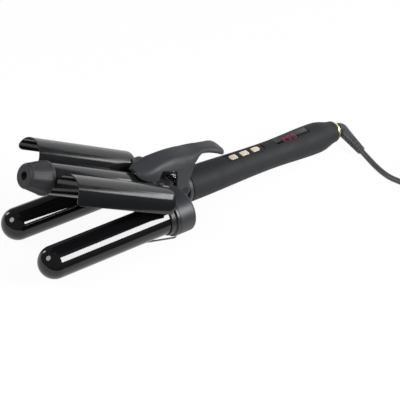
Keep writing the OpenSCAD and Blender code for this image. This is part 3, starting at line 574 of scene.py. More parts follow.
def eased_rows(rows, steps):
    """Rows between the given ones, on curves that never run past them."""
    gaps = [b[0] - a[0] for a, b in zip(rows, rows[1:])]
    slopes = [[(q - p) / gap for p, q in zip(a, b)] for a, b, gap in zip(rows, rows[1:], gaps)]
    bends = [slopes[0]]
    for before, after in zip(slopes, slopes[1:]):
        bends.append([2 * p * q / (p + q) if p * q > 0 else 0 for p, q in zip(before, after)])
    bends.append(slopes[-1])
    out = []
    for i, gap in enumerate(gaps):
        for k in range(steps):
            t = k / steps
            weights = (2 * t ** 3 - 3 * t ** 2 + 1, (t ** 3 - 2 * t ** 2 + t) * gap,
                       3 * t ** 2 - 2 * t ** 3, (t ** 3 - t ** 2) * gap)
            out.append([sum(w * v for w, v in zip(weights, values))
                        for values in zip(rows[i], bends[i], rows[i + 1], bends[i + 1])])
    out.append(list(rows[-1]))
    return out


def frames_along(route):
    """Each point of a route with two directions across it, carried along without twist."""
    route = [Vector(p) for p in route]
    last = len(route) - 1
    ways = [(route[min(i + 1, last)] - route[max(i - 1, 0)]).normalized() for i in range(last + 1)]
    across = ways[0].orthogonal().normalized()
    out = []
    for point, way in zip(route, ways):
        across = (across - way * across.dot(way)).normalized()
        out.append((point, across, way.cross(across)))
    return out


def tube(route, radius, sides):
    """A closed tube along a route; radius is a number or a function of the point's number and angle."""
    rings = []
    for i, (point, across, up) in enumerate(frames_along(route)):
        ring = []
        for k in range(sides):
            angle = 2 * math.pi * k / sides
            r = radius(i, angle) if callable(radius) else radius
            ring.append(point + (across * math.cos(angle) + up * math.sin(angle)) * r)
        rings.append(ring)
    return loft(rings)


def round_rect(length, width, radius, steps=8):
    """A rectangle with round corners about the origin."""
    out = []
    for turn, (sx, sy) in enumerate([(1, 1), (-1, 1), (-1, -1), (1, -1)]):
        for k in range(steps + 1):
            angle = math.pi / 2 * (turn + k / steps)
            out.append((sx * (length / 2 - radius) + radius * math.cos(angle),
                        sy * (width / 2 - radius) + radius * math.sin(angle)))
    return out


def slab(outline, low, high, edge, crown=0.0, steps=4):
    """A plate on an outline in X and Y, its upper rim rounded by edge and its top raised by crown."""
    count = len(outline)
    inward = []
    for i in range(count):
        along = Vector(outline[(i + 1) % count]) - Vector(outline[i - 1])
        inward.append(Vector((-along.y, along.x)).normalized())
    rings = [[(x, y, low) for x, y in outline]]
    for k in range(steps + 1):
        angle = math.pi / 2 * k / steps
        depth, rise = edge * (1 - math.cos(angle)), edge * (math.sin(angle) - 1)
        rings.append([(x + n.x * depth, y + n.y * depth, high + rise)
                      for (x, y), n in zip(outline, inward)])
    if crown:
        centre = (sum(x for x, y in outline) / count, sum(y for x, y in outline) / count)
        for share in CROWN_SHARES:
            rings.append([(centre[0] + (x - centre[0]) * share, centre[1] + (y - centre[1]) * share,
                           high + crown * (1 - share ** 2)) for x, y, _ in rings[steps + 1]])
    return loft(rings)


# ---------------------------------------------------------------- finishes


def build_materials(colours):
    """Every finish by name. Grain sizes are the real ones in mm."""
    return {
        # Sprayed and baked coating on drawn tube: nearly a mirror, with the faint waviness of spray
        "coating": finish("baked_gloss_coating", colours.coating, 0.06, grain=2.5, relief=0.0005),
        # The same coating on pressed sheet, a little duller because sheet is not polished first
        "wing": finish("baked_coating_on_sheet", colours.wing_coating, 0.13, grain=2.0, relief=0.001,
                       spread=0.03),
        # Rubber-like paint sprayed over moulded shells: dull, with a fine even pebble
        "soft_touch": finish("soft_touch_paint", colours.soft_touch, 0.62, grain=0.35, relief=0.012,
                             spread=0.05, **{"Specular IOR Level": 0.25}),
        # Glass-filled plastic from a spark-eroded mould: satin, with a fine grain
        "lever": finish("moulded_satin_plastic", colours.lever, 0.5, grain=0.3, relief=0.01,
                        spread=0.05, **{"Specular IOR Level": 0.35}),
        "yoke": finish("moulded_yoke_plastic", colours.yoke, 0.42, grain=0.3, relief=0.008,
                       spread=0.05),
        "collar": finish("moulded_collar_plastic", colours.collar, 0.3, grain=0.4, relief=0.004),
        "tip": finish("moulded_tip_plastic", colours.tip, 0.5, grain=0.3, relief=0.01, spread=0.04,
                      **{"Specular IOR Level": 0.3}),
        # Polished insert behind the keys: a clean reflection
        "panel": finish("polished_black_plastic", colours.panel, 0.25),
        # Metallic champagne lacquer: fine sparkle under a clear coat
        "key": finish("champagne_lacquer", colours.key, 0.3, grain=0.15, relief=0.002,
                      **{"Metallic": 0.25, "Coat Weight": 0.4, "Coat Roughness": 0.1}),
        "window": build_window_material(colours),
        # Light from behind a printed mask, so the digits have an even glow
        "digit": finish("lit_digit", colours.digit, 0.4,
                        **{"Emission Color": colours.digit, "Emission Strength": 0.75}),
        # Vacuum-plated plastic ring, polished before plating
        "gold": finish("plated_trim", colours.gold, 0.3, Metallic=1.0),
        # Cold-drawn spring wire: bright, with fine drawing marks
        "wire": finish("drawn_steel_wire", linear("#8E9092"), 0.28, grain=0.4, relief=0.004,
                       Metallic=1.0),
        "steel": finish("turned_steel", linear("#B4B6B8"), 0.25, grain=0.3, relief=0.002, Metallic=1.0),
        # Turned pin, blackened in hot salts
        "black_steel": finish("blackened_steel", linear("#26272A"), 0.38, grain=0.3, relief=0.002,
                              Metallic=0.6),
        "aluminium": finish("extruded_aluminium", linear("#C4C6C8"), 0.4, grain=0.5, relief=0.004,
                            Metallic=1.0),
        "brass": finish("nickel_plated_brass", linear("#C9C6BE"), 0.2, Metallic=1.0),
        "board": finish("solder_masked_board", linear("#1B4A2C"), 0.35, grain=0.5, relief=0.005),
        # Extruded flexible sheath: slightly waxy, with faint lengthwise drag
        "cord": finish("flexible_pvc_sheath", colours.cord, 0.4, grain=0.8, relief=0.01,
                       spread=0.05),
        "rubber": finish("moulded_flexible_sleeve", colours.cord, 0.48, grain=0.3, relief=0.008),
    }


def build_window_material(colours):
    """Tinted acrylic over a dark module, darkest over the digits; its paler ends are a painted
    reflection.
    """
    material, tree, output = new_material("tinted_acrylic_window")
    place = add_node(tree, "ShaderNodeTexCoord")
    parts = add_node(tree, "ShaderNodeSeparateXYZ", links={"Vector": place.outputs["Object"]})
    start, end = ((HANDLE @ Vector((WINDOW_AT + half, 0, 0))).x
                  for half in (-WINDOW_SIZE[0] / 2, WINDOW_SIZE[0] / 2))
    along = add_node(tree, "ShaderNodeMapRange", {"From Min": start, "From Max": end},
                     {"Value": parts.outputs["X"]})
    ramp = add_node(tree, "ShaderNodeValToRGB", links={"Fac": along.outputs[0]})
    # Places along the window and how pale it is there: the pale ends are a painted reflection
    stops = [(0.0, 0.95), (0.3, 0.45), (0.65, 0.6), (1.0, 1.1)]
    while len(ramp.color_ramp.elements) < len(stops):
        ramp.color_ramp.elements.new(0.5)
    for element, (at, share) in zip(ramp.color_ramp.elements, stops):
        element.position = at
        element.color = [min(c * share, 1) for c in colours.window[:3]] + [1]
    # A dark band is printed along the near side
    band = add_node(tree, "ShaderNodeMapRange",
                    {"From Min": WINDOW_BAND[0] * MM, "From Max": WINDOW_BAND[1] * MM},
                    {"Value": parts.outputs["Y"]})
    # The window's colour: the dark band, then the tint with the painted reflection at its ends
    tint_and_sheen = add_node(tree, "ShaderNodeMix", {"data_type": "RGBA", 6: linear("#060607")},
                    {0: band.outputs[0], 7: ramp.outputs[0]})
    shader = add_node(tree, "ShaderNodeBsdfPrincipled",
                      {"Roughness": 0.3, "Specular IOR Level": 0.3},
                      {"Base Color": tint_and_sheen.outputs[2]})
    tree.links.new(shader.outputs[0], output.inputs["Surface"])
    return material


MATERIALS = {}
NODE_FINISHES = {
    "yoke": "yoke", "barrel_heaters": "aluminium", "pivot_pin": "black_steel", "spring_bush": "collar",
    "case_screws": "steel", "control_panel": "panel", "display_module": "panel",
    "control_board": "board", "jaw_bridge": "yoke", "centre_heater": "aluminium",
    "tip_screw": "steel", "lever_screws": "steel", "swivel_stem": "rubber", "plug_pins": "brass"}


class CRIMPER_OT_materials(bpy.types.Operator):
    """Make the finishes and give the CAD nodes that stay in view theirs"""

    bl_idname = "crimper.materials"
    bl_label = "Finishes"

    def execute(self, context):
        MATERIALS.update(build_materials(context.scene.crimper_colours))
        for node, material in NODE_FINISHES.items():
            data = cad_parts[node].data
            data.materials.clear()
            data.materials.append(MATERIALS[material])
        for node, width in {"yoke": 0.5, "jaw_bridge": 0.4}.items():
            add_modifier(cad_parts[node], "BEVEL", width=width * MM, segments=3,
                         limit_method="ANGLE", angle_limit=math.radians(40), harden_normals=False)
        return {"FINISHED"}


# ---------------------------------------------------------------- barrels


class CRIMPER_OT_barrels(bpy.types.Operator):
    """Build the two fixed barrels and their collars"""

    bl_idname = "crimper.barrels"
    bl_label = "Fixed barrels"

    def execute(self, context):
        dome_x = BARREL_RADIUS - BARREL_REACH
        dome = [(dome_x - BARREL_RADIUS * math.cos(math.pi / 2 * k / DOME_STEPS),
                 BARREL_RADIUS * math.sin(math.pi / 2 * k / DOME_STEPS))
                for k in range(DOME_STEPS + 1)]
        back = BARREL_SEAT - BARREL_PLAY
        tube_shape = lathe(dome + [(back, BARREL_RADIUS), (back, 0)], open_profile=True)
        collar_shape = lathe(rounded(COLLAR_PROFILE, COLLAR_EDGE))
        for side, y in (("near", -BARREL_Y), ("far", BARREL_Y)):
            place = PLACED @ Matrix.Translation((0, y, 0))
            dress(f"barrel_{side}_tube", tube_shape, place, "coating", "base",
                  [f"barrel_{side}"])
            dress(f"collar_{side}", collar_shape, place, "collar", "base",
                  ["barrel_collars"])
        return {"FINISHED"}


# ---------------------------------------------------------------- jaw


def wing_sheet(radius):
    """The wing's middle surface, with its two lower front corners rounded."""
    low = radius * math.cos(math.radians(WING_ANGLE))
    bends, runs, turns = WING_STEPS
    front = [WING_CORNER * (1 - math.cos(math.pi / 2 * k / bends)) for k in range(bends + 1)]
    length = JAW_REACH - WING_BACK
    places = front + [WING_CORNER + (length - WING_CORNER) * k / runs for k in range(1, runs + 1)]
    rings = []
    for place in places:
        inset = max(WING_CORNER - place, 0)
        rise = WING_CORNER - math.sqrt(max(WING_CORNER ** 2 - inset ** 2, 0))
        limit = math.acos((low + rise) / radius)
        rings.append([(place - JAW_REACH, radius * math.sin(limit * k / turns),
                       radius * math.cos(limit * k / turns)) for k in range(-turns, turns + 1)])
    return loft(rings, cap=False, loop=False)


class CRIMPER_OT_wings(bpy.types.Operator):
    """Build the jaw's two half-round wings"""

    bl_idname = "crimper.wings"
    bl_label = "Wings"

    def execute(self, context):
        sizes = context.scene.crimper_sizes
        wall = sizes.wing_wall / MM
        points, faces = wing_sheet(BARREL_RADIUS + WING_GAP + wall / 2)
        for side, y in (("near", -BARREL_Y), ("far", BARREL_Y)):
            place = jaw_place(sizes.jaw_angle) @ Matrix.Translation((0, y, 0))
            mesh = make_mesh(f"wing_{side}_shell", points, faces, place)
            piece = place_object(f"wing_{side}_shell", mesh, MATERIALS["wing"])
            add_modifier(piece, "SOLIDIFY", thickness=wall * MM, offset=0)
            add_modifier(piece, "BEVEL", width=wall * WING_EDGE_SHARE * MM, segments=3,
                         limit_method="ANGLE", angle_limit=math.radians(50))
            bake(piece, 60)
            settle(piece, "clamp", [f"wing_{side}"])
        return {"FINISHED"}


class CRIMPER_OT_centre_barrel(bpy.types.Operator):
    """Build the jaw's centre barrel and its fluted cool tip"""

    bl_idname = "crimper.centre_barrel"
    bl_label = "Centre barrel"

    def execute(self, context):
        place = jaw_place(context.scene.crimper_sizes.jaw_angle) \
            @ Matrix.Translation((0, 0, CENTRE_DROP))
        front = CENTRE_TIP_GAP - JAW_REACH
        profile = rounded([(front, 0), (front, CENTRE_RADIUS), (-CENTRE_BACK, CENTRE_RADIUS),
                           (-CENTRE_BACK, 0)], CENTRE_EDGE, closed=False)
        dress("centre_tube", lathe(profile, open_profile=True), place, "wing", "clamp",
              ["centre_barrel"])
        dress("cool_tip_cap", self.tip(), place @ Matrix.Translation((-JAW_REACH, 0, 0)), "tip",
              "clamp", ["cool_tip"])
        return {"FINISHED"}

    @staticmethod
    def tip():
        """Turned profile of the cap, scalloped by shallow flutes."""
        face, hole = -TIP_LENGTH, TIP_HOLE_DEPTH - TIP_LENGTH
        profile = rounded([(0, 0), (0, TIP_RADIUS - 0.5), (-0.5, TIP_RADIUS), (-TIP_BAND, TIP_RADIUS),
                           (face + 5, TIP_FACE_RADIUS + TIP_NOSE + 0.12),
                           (face + 1.6, TIP_FACE_RADIUS + TIP_NOSE * 0.72), (face, TIP_FACE_RADIUS),
                           (face, TIP_HOLE_RADIUS + TIP_HOLE_EDGE),
                           (face + TIP_HOLE_EDGE, TIP_HOLE_RADIUS), (hole, TIP_HOLE_RADIUS),
                           (hole, 0)], TIP_EDGE, steps=6, closed=False)
        fine = []
        for a, b in zip(profile, profile[1:]):
            parts = max(1, round((Vector(b) - Vector(a)).length / TIP_FINENESS))
            fine += [tuple(Vector(a).lerp(Vector(b), k / parts)) for k in range(parts)]
        fine.append(profile[-1])
        start, end = FLUTE_FROM_FACE - TIP_LENGTH, -FLUTE_FROM_BACK
        rings = []
        for i in range(TIP_STEPS):
            angle = 2 * math.pi * i / TIP_STEPS
            turn = angle * TIP_FLUTES / (2 * math.pi) + 0.5
            across = abs(turn - round(turn)) / FLUTE_REACH
            ring = []
            for x, r in fine:
                along = abs(x - (start + end) / 2) / ((end - start) / 2)
                if r > TIP_HOLE_RADIUS + 1 and across < 1 and along < 1:
                    r -= FLUTE_DEPTH * (1 - across ** 2) * min(1, FLUTE_STEEP * math.sqrt(1 - along ** 2))
                ring.append((x, r * math.sin(angle), r * math.cos(angle)))
            rings.append(ring)
        return loft(rings, cap=False, loop=False, around=True)


class CRIMPER_OT_lever(bpy.types.Operator):
    """Build the moulded thumb lever with its two cheeks"""

    bl_idname = "crimper.lever"
    bl_label = "Lever"

    def execute(self, context):
        sizes = context.scene.crimper_sizes
        place = jaw_place(sizes.jaw_angle)
        wall = sizes.lever_wall / MM
        rings = []
        for x, crown, width, base, low in eased_rows(LEVER_ROWS, 6):
            thick = min(wall, (crown - low) * LEVER_WALL_SHARES[0])
            thin = min(wall, width * LEVER_WALL_SHARES[1])
            inner = self.arc(x, crown - thick, width - thin, base, low)
            rings.append(self.arc(x, crown, width, base, low) + inner[::-1])
        meshes = [make_mesh("lever_loft", *loft(rings), place)]
        outline = rounded(CHEEK_OUTLINE, CHEEK_CORNER)
        turned = Matrix.Translation(PIVOT) @ Matrix.Rotation(math.pi / 2, 4, "Z")
        for side in (-1, 1):
            rings = [[(x, side * y, z) for x, z in outline] for y in (CHEEK_IN, CHEEK_OUT)]
            meshes.append(make_mesh("cheek", *loft(rings), place))
            low, high = sorted((side * CHEEK_IN, side * CHEEK_OUT))
            boss = disc(low, high, CHEEK_BOSS_RADIUS)
            meshes.append(make_mesh("boss", *boss, place @ turned))
        work = bmesh.new()
        for mesh in meshes:
            work.from_mesh(mesh)
        mesh = bpy.data.meshes.new("lever_moulding")
        work.to_mesh(mesh)
        work.free()
        piece = place_object("lever_moulding", mesh, MATERIALS["lever"])
        add_modifier(piece, "REMESH", mode="VOXEL", voxel_size=sizes.lever_voxel)
        add_modifier(piece, "SMOOTH", factor=0.5, iterations=LEVER_SMOOTHINGS)
        recess = disc(-PIN_RECESS, PIN_RECESS, PIN_HEAD_RADIUS + PIN_HEAD_PLAY)
        cut(piece, [make_mesh("recess", *recess,
                              place @ turned @ Matrix.Translation((side * CHEEK_OUT, 0, 0)))
                    for side in (-1, 1)], 50)
        self.lean(piece.data, place)
        settle(piece, "clamp", ["lever"])
        return {"FINISHED"}

    @staticmethod
    def arc(x, crown, width, base, low):
        """Squarish arch from one lower edge over the crown to the other."""
        square, upright = LEVER_SQUARE
        start = math.asin(((low - base) / (crown - base)) ** (1 / upright))
        out = []
        for k in range(LEVER_STEPS + 1):
            angle = start + (math.pi - 2 * start) * k / LEVER_STEPS
            rise = math.sin(angle) ** upright
            across = math.copysign(abs(math.cos(angle)) ** square, math.cos(angle))
            out.append((x, width * across, base + (crown - base) * rise))
        return out

    @staticmethod
    def lean(mesh, place):
        """Leans the side walls in towards the crown, but neither at the nose nor along the tab."""
        back = place.inverted()
        first, full, ebb, last = LEAN_SPAN
        for vertex in mesh.vertices:
            point = back @ vertex.co
            foot = LEAN_FOOT_HEIGHT + LEAN_FOOT_RISE * min(point.x - LEAN_FOOT_AT, LEAN_FOOT_LENGTH)
            share = ease((point.x - first) / (full - first)) * (1 - ease((point.x - ebb) / (last - ebb)))
            point.y *= 1 - LEVER_LEAN * share * max(point.z - foot, 0)
            vertex.co = place @ point


# ---------------------------------------------------------------- handle


def handle_radius(sizes, u):
    """Radius of the handle at a distance u behind its front edge."""
    front, waist, bulge, tail = (d / MM / 2 for d in (sizes.front_diameter, sizes.waist_diameter,
                                                      sizes.bulge_diameter, sizes.tail_diameter))
    if u <= WAIST_AT:
        return front + (waist - front) * ease(u / WAIST_AT)
    if u <= BULGE_AT:
        return waist + (bulge - waist) * ease((u - WAIST_AT) / (BULGE_AT - WAIST_AT))
    t = (u - BULGE_AT) / (HANDLE_LENGTH - BULGE_AT)
    return bulge + (tail - bulge) * ease(t ** SHOULDER_POWER)


def half_ring(u, outer, inner, turn):
    """Half of the shell's section at u, its seam edges slightly rounded."""
    limit = math.pi / 2 - SEAM_GAP / outer
    soft = SEAM_EDGE / outer
    share, depth = SEAM_MIDDLE
    angles = [-limit, -limit + soft * share] \
        + [(-limit + soft) + 2 * (limit - soft) * k / HALF_STEPS for k in range(HALF_STEPS + 1)] \
        + [limit - soft * share, limit]
    edge = [outer - SEAM_EDGE, outer - depth]
    radii = edge + [outer] * (HALF_STEPS + 1) + edge[::-1]
    ring = [(u, r * math.sin(a + turn), r * math.cos(a + turn)) for a, r in zip(angles, radii)]
    return ring + [(u, inner * math.sin(a + turn), inner * math.cos(a + turn))
                   for a in reversed(angles)]


def seat_cutter(name, place, size, play, corner, low):
    """A tall block that cuts the seat of a plate, with play on every side."""
    outline = round_rect(size[0] + 2 * play, size[1] + 2 * play, corner)
    rings = [[(x, y, z) for x, y in outline] for z in (low, low + SEAT_HEIGHT)]
    return make_mesh(name, *loft(rings), place)


class CRIMPER_OT_handle(bpy.types.Operator):
    """Build the two handle shells and their rings"""

    bl_idname = "crimper.handle"
    bl_label = "Handle"

    def execute(self, context):
        sizes = context.scene.crimper_sizes
        self.shells(sizes)
        self.front_ring(sizes.front_diameter / MM / 2)
        self.end_ring()
        return {"FINISHED"}

    @staticmethod
    def shells(sizes):
        """The two half shells; the upper one has the seats of the key panel and the window."""
        stations = [HANDLE_LENGTH * k / SHELL_STEPS for k in range(SHELL_STEPS + 1)]
        rim = SHELL_RIM[-1][0]
        places = SHELL_RIM + [(u, 0) for u in stations if rim < u < HANDLE_LENGTH - rim] \
            + [(HANDLE_LENGTH - u, inset) for u, inset in reversed(SHELL_RIM)]
        for side, turn in (("upper", 0), ("lower", math.pi)):
            rings = []
            for u, inset in places:
                outer = handle_radius(sizes, u)
                rings.append(half_ring(u, outer + inset, outer - SHELL_WALL, turn))
            mesh = make_mesh(f"handle_{side}_shell", *loft(rings), HANDLE)
            piece = place_object(f"handle_{side}_shell", mesh, MATERIALS["soft_touch"])
            if side == "upper":
                middle = HANDLE @ Matrix.Translation((KEY_AT + KEY_PITCH, 0, 0))
                cut(piece, [
                    seat_cutter("panel_seat", middle, PANEL_SIZE, PANEL_PLAY, PANEL_CORNER + PANEL_PLAY,
                                PANEL_TOP - PANEL_WALL),
                    seat_cutter("window_seat", WINDOW, WINDOW_SIZE, WINDOW_PLAY, WINDOW_SEAT_CORNER,
                                -WINDOW_SEAT_DEPTH)])
            else:
                shade(mesh, 35)
            settle(piece, "base", [f"handle_{side}"])

    @staticmethod
    def front_ring(r):
        """The dark ring in front of the shells, for a handle of this radius."""
        bore = SPIGOT_RADIUS + BORE_PLAY
        profile = rounded([(-FRONT_RING, bore), (-FRONT_RING, r - 1.2), (0.8 - FRONT_RING, r - 0.4),
                           (-0.6, r - 0.4), (-0.6, r - 0.9), (-0.02, r - 0.9), (-0.02, bore)],
                          FRONT_RING_EDGE)
        dress("front_ring_band", lathe(profile), HANDLE, "yoke", "base",
              ["front_ring"])

    @staticmethod
    def end_ring():
        """The plated ring on the shells' rear end, around the swivel stem."""
        r, bore, seat = END_RING_RADIUS, STEM_RADIUS + BORE_PLAY, END_RING_SPIGOT
        start, end = HANDLE_LENGTH, HANDLE_LENGTH + END_RING
        profile = rounded([(start - END_RING_SEAT, bore), (start - END_RING_SEAT, seat), (start, seat),
                           (start, r - 0.4), (start + 0.5, r), (end - 1, r - 0.5), (end, r - 1.5),
                           (end, bore)], END_RING_EDGE)
        dress("end_ring_trim", lathe(profile), HANDLE, "gold", "base", ["end_ring"])


def key_outline(number):
    """Outline of a key: the first and last have one half-round end each."""
    half, side = KEY_SIZE[0] / 2, KEY_SIZE[1] / 2
    big = side - KEY_END_FLAT
    front = big if number == 0 else KEY_CORNER
    back = big if number == 2 else KEY_CORNER
    out = []
    for turn, (sx, sy, r) in enumerate([(1, 1, back), (-1, 1, front), (-1, -1, front), (1, -1, back)]):
        for k in range(9):
            angle = math.pi / 2 * (turn + k / 8)
            out.append((sx * (half - r) + r * math.cos(angle), sy * (side - r) + r * math.sin(angle)))
    return out


class CRIMPER_OT_controls(bpy.types.Operator):
    """Build the keys, the display window and its digits"""

    bl_idname = "crimper.controls"
    bl_label = "Keys and display"

    # Segments of a digit, lettered as is usual: centre along and across, length and height, all in
    # digit widths
    SEGMENTS = {"a": (0, 1, 0.8, 0), "b": (0.5, 0.5, 0, 0.8), "c": (0.5, -0.5, 0, 0.8),
                "d": (0, -1, 0.8, 0), "e": (-0.5, -0.5, 0, 0.8), "f": (-0.5, 0.5, 0, 0.8),
                "g": (0, 0, 0.8, 0)}
    LIT = {"0": "abcdef", "1": "bc", "2": "abged", "3": "abgcd", "4": "fgbc", "5": "afgcd",
           "6": "afgedc", "7": "abc", "8": "abcdefg", "9": "gfabcd"}

    def execute(self, context):
        low, high = PANEL_TOP - PANEL_WALL - KEY_BELOW, PANEL_TOP + KEY_PROUD
        for number, name in enumerate(("front", "middle", "rear")):
            place = HANDLE @ Matrix.Translation((KEY_AT + number * KEY_PITCH, 0, 0))
            cap = slab(key_outline(number), low, high, KEY_EDGE, crown=KEY_CROWN)
            dress(f"key_{name}_cap", cap, place, "key", f"{name}_key",
                  [f"key_{name}"])
        glass = slab(round_rect(*WINDOW_SIZE, WINDOW_CORNER), -WINDOW_THICK, 0, WINDOW_EDGE)
        dress("display_window_glass", glass, WINDOW, "window", "base",
              ["display_window"])
        self.digits()
        return {"FINISHED"}

    def digits(self):
        """Lit digits on the window, upright for a viewer on the near side."""
        width, stroke = DIGIT_WIDTH, DIGIT_STROKE
        points, faces = [], []
        for number, value in enumerate(DIGITS_SHOWN):
            start = DIGITS_START + number * DIGIT_PITCH
            for segment in self.LIT[value]:
                x, y, length, height = self.SEGMENTS[segment]
                box = round_rect(length * width + stroke, height * width + stroke,
                                 stroke * SEGMENT_CORNER, 2)
                outline = [(start + x * width + px, DIGITS_ACROSS + y * width + py) for px, py in box]
                more, sides = slab(outline, -SEGMENT_SINK, SEGMENT_PROUD, SEGMENT_PROUD, steps=1)
                faces += [[i + len(points) for i in side] for side in sides]
                points += more
        mesh = make_mesh("display_digits", points, faces, WINDOW)
        settle(place_object("display_digits", mesh, MATERIALS["digit"]), "base")


# ---------------------------------------------------------------- wire pieces


def bend(a, b, c, radius, steps):
    """An arc of this radius that rounds the corner b between a and c."""
    a, b, c = Vector(a), Vector(b), Vector(c)
    u, v = (a - b).normalized(), (c - b).normalized()
    half = u.angle(v) / 2
    reach = radius / math.tan(half)
    centre = b + (u + v).normalized() * radius / math.sin(half)
    first, last = (b + u * reach - centre).normalized(), (b + v * reach - centre).normalized()
    across = (last - first * first.dot(last)).normalized()
    turn = math.pi - 2 * half
    return [centre + (first * math.cos(turn * k / steps) + across * math.sin(turn * k / steps)) * radius
            for k in range(steps + 1)]


class CRIMPER_OT_wires(bpy.types.Operator):
    """Build the wire stand and the clamp spring"""

    bl_idname = "crimper.wires"
    bl_label = "Stand and spring"

    def execute(self, context):
        sizes = context.scene.crimper_sizes
        self.stand(sizes.stand_wire / MM / 2)
        self.spring(sizes.spring_wire / MM / 2)
        return {"FINISHED"}

    @staticmethod
    def stand(radius):
        """A wire that runs out of the yoke, down, forward and back across in a wide W."""
        hinge, low = -(BARREL_RADIUS + radius + STAND_HINGE_DROP), FLOOR_Z + radius
        inner, outer = (BARREL_Y + out for out in STAND_ENDS)
        turns = [(STAND_HINGE_AT, inner, hinge), (STAND_HINGE_AT, outer, hinge),
                 (STAND_HINGE_AT, outer, low), (*STAND_TOE, low), (*STAND_BAR, low),
                 (STAND_BAR[0], -STAND_BAR[1], low)]
        side = [Vector(turns[0])]
        for corner, how in zip(zip(turns, turns[1:], turns[2:]), STAND_BENDS):
            side += bend(*corner, *how)
        route = side + [Vector((p.x, -p.y, p.z)) for p in reversed(side)]
        dress("stand_wire", tube(route, radius, 24), PLACED, "wire", "stand",
              ["wire_stand"])

    @staticmethod
    def spring(radius):
        """A torsion spring about the cross pin, with a straight leg at each end."""
        r, turns = SPRING_RADIUS, SPRING_TURNS
        pitch = (SPRING_ROOM - 2 * radius) / turns
        coil = []
        for i in range(int(turns * SPRING_STEPS) + 1):
            turn = i / SPRING_STEPS
            angle = 2 * math.pi * turn
            coil.append(Vector((r * math.sin(angle), pitch * (turn - turns / 2), -r * math.cos(angle))))
        leg = [coil[0] + Vector((x, 0, SPRING_LEG_SLOPE * x)) for x in SPRING_LEG]
        arm = [coil[-1] + Vector((SPRING_ARM_SLOPE * z, 0, z)) for z in SPRING_ARM]
        dress("spring_wire", tube(leg + coil + arm, radius, 16),
              PLACED @ Matrix.Translation(PIVOT), "wire", "base", ["clamp_spring"])


# ---------------------------------------------------------------- lead


def coil_point(turn):
    """Point of the coil after so many turns: layers that spiral in and out by turns, each followed
    by a short climb to the next."""
    top = COIL_LAYERS - 1
    layer = min(int(turn / (COIL_SPIRAL + COIL_CLIMB)), top)
    local = turn - layer * (COIL_SPIRAL + COIL_CLIMB)
    inward = layer % 2 == 0
    climb = max(local - COIL_SPIRAL, 0) / COIL_CLIMB
    first, last = (COIL_OUT, COIL_IN) if inward else (COIL_IN, COIL_OUT)
    radius = first + (last - first) * min(local / COIL_SPIRAL, 1)
    lift = top
    if layer < top:
        lift = layer + climb
        if climb > 0:
            radius += (-1 if inward else 1) * COIL_BUMP * math.sin(math.pi * climb)
    angle = math.radians(COIL_START + 360 * turn)
    return Vector(COIL_CENTRE) + Vector((radius * math.cos(angle), radius * math.sin(angle),
                                         COIL_LAYER * lift))


def lead_route():
    """The whole lead from the sleeve to the plug, and the way that the plug points."""
    heading = math.radians(COIL_START + 90)
    way = Vector((math.cos(heading), math.sin(heading), 0))
    left = Vector((-way.y, way.x, 0))
    coil = [coil_point(i / COIL_POINTS) for i in range(COIL_TURNS * COIL_POINTS + 1)]
    # The cord runs straight for its own diameter before and after the coil
    start, end = coil[0] - way * CORD_DIAMETER, coil[-1] + way * CORD_DIAMETER
    route = [Vector(p) for p in CORD_ROUTE] + [start] + coil + [end]
    rise = CORD_DIAMETER / 2 + PLUG_GAP + PLUG_THICK / 2
    turn = math.radians(TAIL_TURN)
    for k in range(TAIL_PARTS + 1):
        angle = turn * k / TAIL_PARTS
        route.append(end + way * (TAIL_LEAD + TAIL_BEND * math.sin(angle))
                     + left * TAIL_BEND * (1 - math.cos(angle))
                     + Vector((0, 0, rise * ease(k / TAIL_PARTS))))
    return route, way * math.cos(turn) + left * math.sin(turn)


def slot_depth(along, angle):
    """How deep the sleeve is slotted at a place along it. Each slot leaves two bridges, and the
    bridges of the next one lie a quarter turn on."""
    number = int((along - SLOT_START) / SLOT_PITCH)
    within = along - SLOT_START - SLOT_PITCH * number
    if along <= SLOT_START or number >= SLOT_COUNT or within >= SLOT_WIDTH:
        return 0
    open_side = math.cos(2 * angle) if number % 2 == 0 else -math.cos(2 * angle)
    rim = min(1, within / SLOT_EDGE, (SLOT_WIDTH - within) / SLOT_EDGE)
    return SLOT_DEPTH * min(1, max(0, (open_side + SLOT_OPEN) * SLOT_STEEP)) * rim


